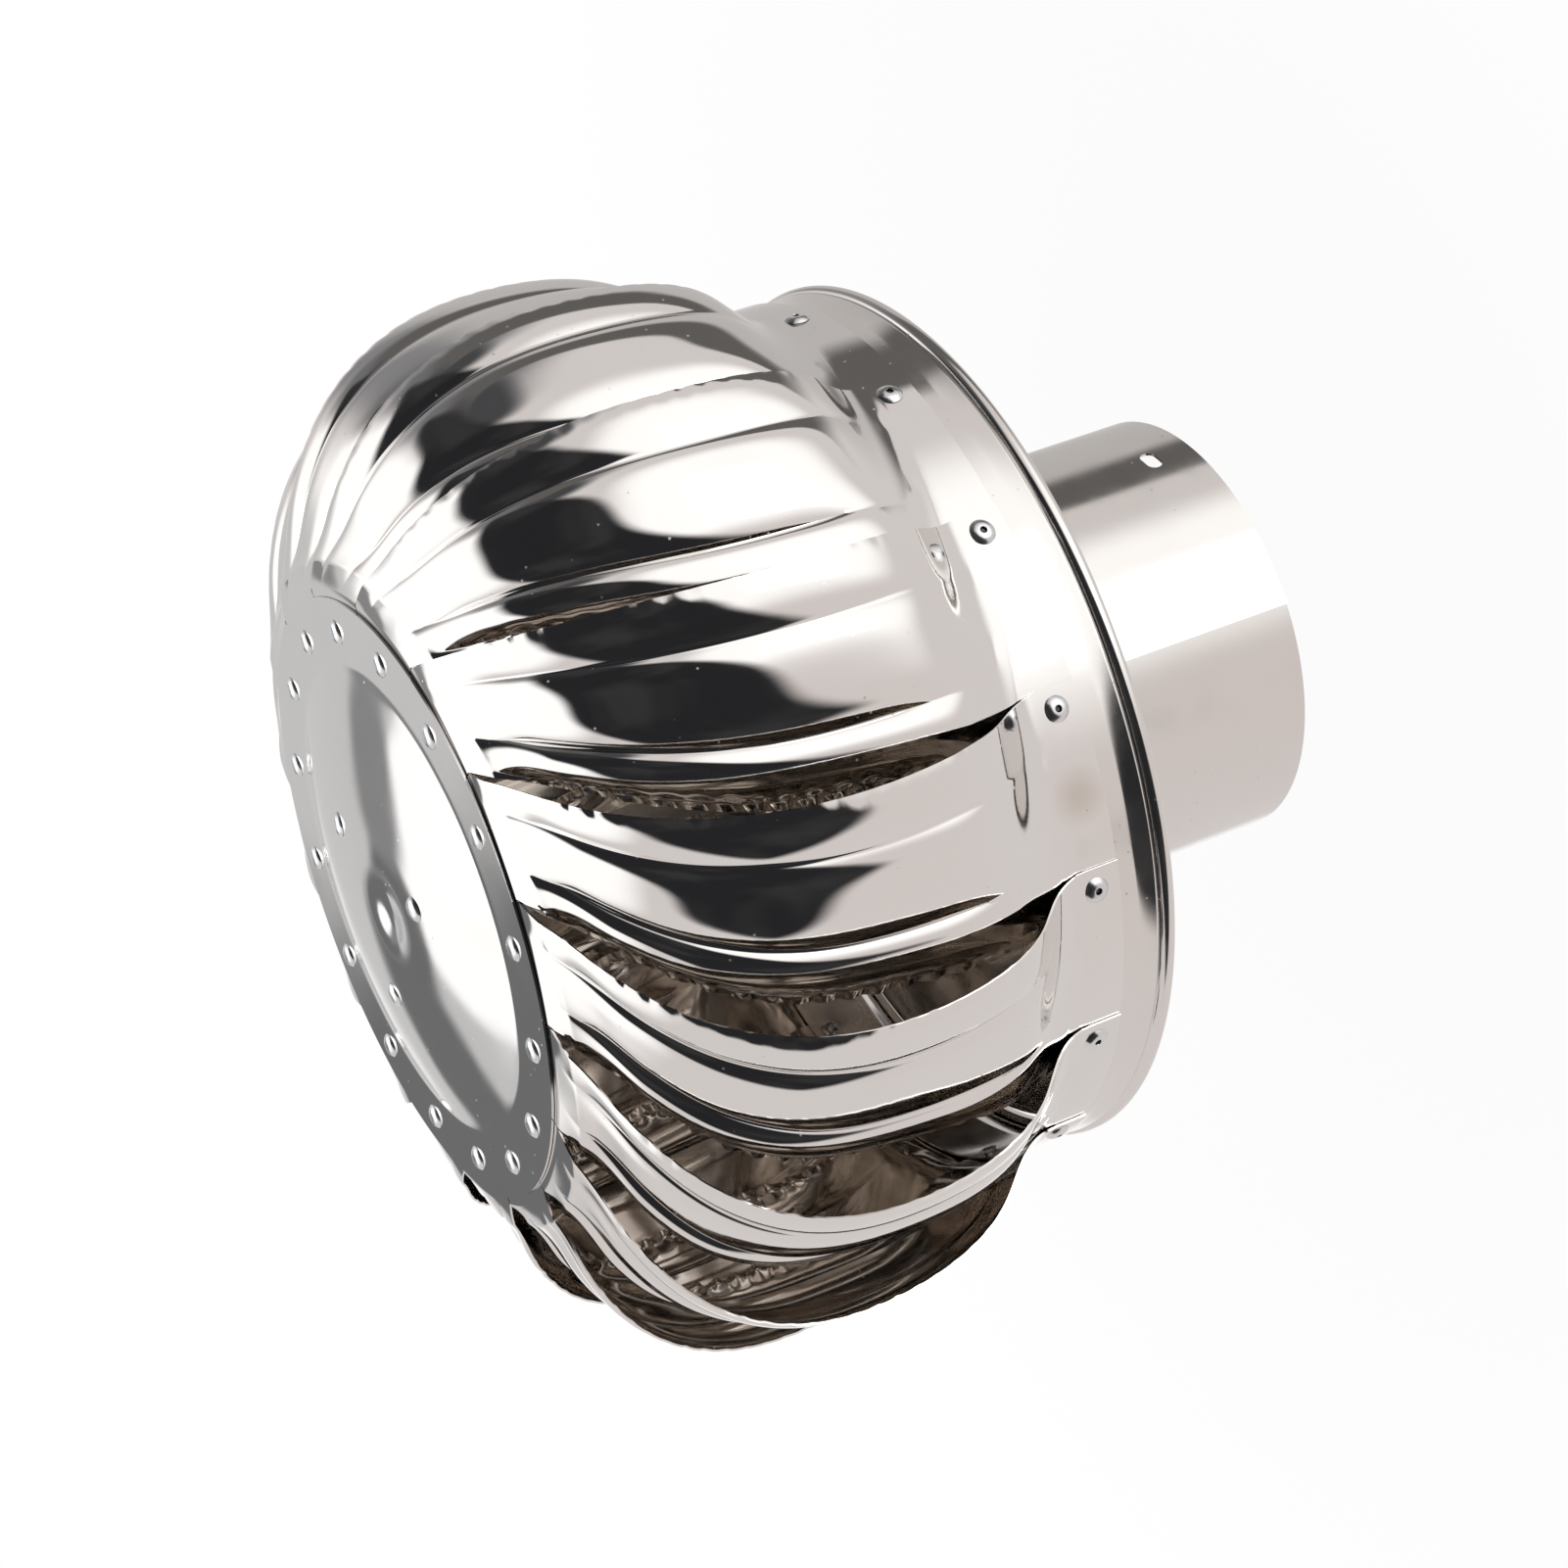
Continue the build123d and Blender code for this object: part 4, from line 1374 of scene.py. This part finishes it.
    def floor(self) -> bpy.types.Object:
        """Round pale floor under the neck that fades into the white room at its edge.

        Returns:
            The floor object.
        """
        angle = np.linspace(0.0, 2.0 * np.pi, self.floor_sides, endpoint=False)
        rim = self.floor_size * np.stack([np.cos(angle), np.sin(angle)], axis=1)
        points = np.column_stack([rim, np.full(self.floor_sides, self.floor_place)])
        material, tree, shader = node_material("white_floor")
        shader.inputs["Base Color"].default_value = (0.9, 0.9, 0.9, 1.0)
        shader.inputs["Roughness"].default_value = 0.9
        shader.inputs["Specular IOR Level"].default_value = 0.0
        glow = add_node(tree, "Emission").outputs[0]
        lit = add_node(tree, "MixShader", {0: self.floor_glow, 1: shader.outputs[0], 2: glow}).outputs[0]
        place = add_node(tree, "TexCoord").outputs["Object"]
        away = add_node(tree, "VectorMath", {0: place}, operation="LENGTH").outputs["Value"]
        start, end = (share * self.floor_size for share in self.floor_fade)
        hidden = remap(tree, away, start, end, curve="SMOOTHSTEP")
        path = add_node(tree, "LightPath")
        for kind in ("Is Glossy Ray", "Is Transmission Ray"):
            inputs = {0: hidden, 1: path.outputs[kind]}
            hidden = add_node(tree, "Math", inputs, operation="MAXIMUM").outputs[0]
        clear = add_node(tree, "BsdfTransparent").outputs[0]
        blend = add_node(tree, "MixShader", {0: hidden, 1: lit, 2: clear}).outputs[0]
        tree.links.new(blend, tree.nodes["Material Output"].inputs["Surface"])
        floor = make_piece("pale_floor", points, [list(range(self.floor_sides))], material)
        return floor

    def lamps(self, camera: bpy.types.Object) -> None:
        """Two large soft lamps, one at each side of the camera.

        Args:
            camera: Gives left, right and up.
        """
        axes = np.array(camera.matrix_world.to_3x3())
        centre = np.array(self.lamp_target)
        for name, side, lift, ahead, watts in (
            ("left_softbox", -1.3, -0.25, -0.1, 2.0),
            ("right_softbox", 0.85, 0.7, 0.95, 2.2),
        ):
            spot = centre + axes @ np.array([side, lift, ahead])
            light = bpy.data.lights.new(name, "AREA")
            light.energy = watts
            light.size = self.lamp_size
            lamp = bpy.data.objects.new(name, light)
            lamp.matrix_world = aim(spot, centre)
            bpy.context.scene.collection.objects.link(lamp)


def aim(place: np.ndarray, target: np.ndarray) -> Matrix:
    """Matrix at a place whose -Z axis points at a target.

    Args:
        place: Where it stands.
        target: What it faces.

    Returns:
        The world matrix.
    """
    back = unit(place - target)
    side = unit(np.cross([0.0, 0.0, 1.0], back))
    up = np.cross(back, side)
    matrix = Matrix(np.stack([side, up, back], axis=1).tolist()).to_4x4()
    matrix.translation = place.tolist()
    return matrix


# --------------------------------------------------------------------------- main
FINISHES = {
    "polished_sheet": SteelFinish(
        "polished_sheet_steel",
        (0.80, 0.775, 0.75),
        0.10,
        0.06,
        grain_depth=0.03,
        wave_depth=0.05,
        wave_scale=30.0,
    ),
    "blade_sheet": SteelFinish(
        "mirror_blade_steel",
        (0.83, 0.81, 0.79),
        0.045,
        0.03,
        Grain.UPRIGHT,
        wave_depth=0.06,
        wave_scale=38.0,
        heat_spots=((-0.0954, -0.0617, 0.0977), (-0.1112, -0.0234, 0.0995)),
    ),
    "inner_steel": SteelFinish("mill_inner_steel", (0.62, 0.58, 0.52), 0.22, 0.1),
    "rivet_steel": SteelFinish("bright_rivet_steel", (0.78, 0.79, 0.80), 0.16, 0.08, wave_depth=0.0),
    "plated_steel": SteelFinish("zinc_plate", (0.66, 0.66, 0.68), 0.3, 0.1),
    "bearing_steel": SteelFinish("ground_bearing_steel", (0.72, 0.72, 0.74), 0.12, 0.05),
    "cage_brass": SteelFinish("stamped_brass", (0.75, 0.58, 0.28), 0.25, 0.1),
    "housing_aluminium": SteelFinish("turned_aluminium", (0.74, 0.74, 0.75), 0.3, 0.1),
}
# Near-black steel: the mandrel's end in the rivet holes darkened as painted shade, and a painted shadow line
# on the neck's lap seam edge.
MANDREL_AND_SHADE_FINISH = SteelFinish("broken_mandrel_and_painted_shade", (0.10, 0.10, 0.11), 0.35, 0.1)
# Darker, warmer copy of the blade steel for the blades' inner faces: painted shade and painted warm
# reflection of light bounced between the blades.
BLADE_BACK_PAINTED_SHADE = SteelFinish(
    "blade_inner_side_painted_shade", (0.72, 0.655, 0.59), 0.08, 0.05, Grain.UPRIGHT, wave_depth=0.06, wave_scale=38.0
)
CAP_FINISH = SteelFinish(
    "spun_cap_steel", (0.82, 0.805, 0.79), 0.045, 0.04, grain_depth=0.04, wave_depth=0.2, wave_scale=26.0
)
RIVET_HEIGHT = 99.5
SHEET_GRIP = 2.1
DOME_GRIP = 1.2


def dress_frame(frame: dict, finishes: dict[str, bpy.types.Material]) -> None:
    """Give each frame node the finish of its material slot.

    Args:
        finishes: Finish by slot name.
    """
    slots = {part["node"]: part["material_slot"] for part in frame["record"]["subparts"]}
    for name, node in frame["nodes"].items():
        for slot in node.material_slots:
            slot.material = finishes[slots[name]]


def main() -> None:
    """Build, dress and report every sub-assembly."""
    logging.basicConfig(level=logging.INFO, format="%(name)s: %(message)s")
    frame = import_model()
    finishes = {slot: finish.build() for slot, finish in FINISHES.items()}
    dress_frame(frame, finishes)
    mandrel_and_shade = MANDREL_AND_SHADE_FINISH.build()
    studio = Studio()
    camera = studio.camera()
    studio.surroundings(camera)
    studio.floor()
    studio.lamps(camera)
    blades = BladeRing(finishes["blade_sheet"], BLADE_BACK_PAINTED_SHADE.build())
    LOG.info("%d blades", len(blades.build()))
    cap = TopCap(CAP_FINISH.build())
    cap.build()
    LOG.info("top cap")
    BaseRing(finishes["polished_sheet"]).build()
    LOG.info("base ring")
    Neck(finishes["polished_sheet"], mandrel_and_shade).build()
    LOG.info("neck")
    rivets = Rivets(finishes["rivet_steel"], mandrel_and_shade)
    ring_seats = around(blades.outer_tab_radius + RIVET_LIFT, RIVET_HEIGHT, np.arange(BLADES) * PITCH, False)
    rivets.place("ring_pop_rivets", ring_seats, SHEET_GRIP, False, "ring_rivets", "rotor")
    rivets.place("dome_pop_rivets", cap.dome_seats(), DOME_GRIP, True, "dome_rivets", "rotor")
    rivets.place("cap_pop_rivets", cap.rim_seats(), SHEET_GRIP, True, "cap_rivets", "rotor")
    LOG.info("rivets")
    bpy.context.scene.view_settings.view_transform = "Standard"


if __name__ == "__main__":
    main()
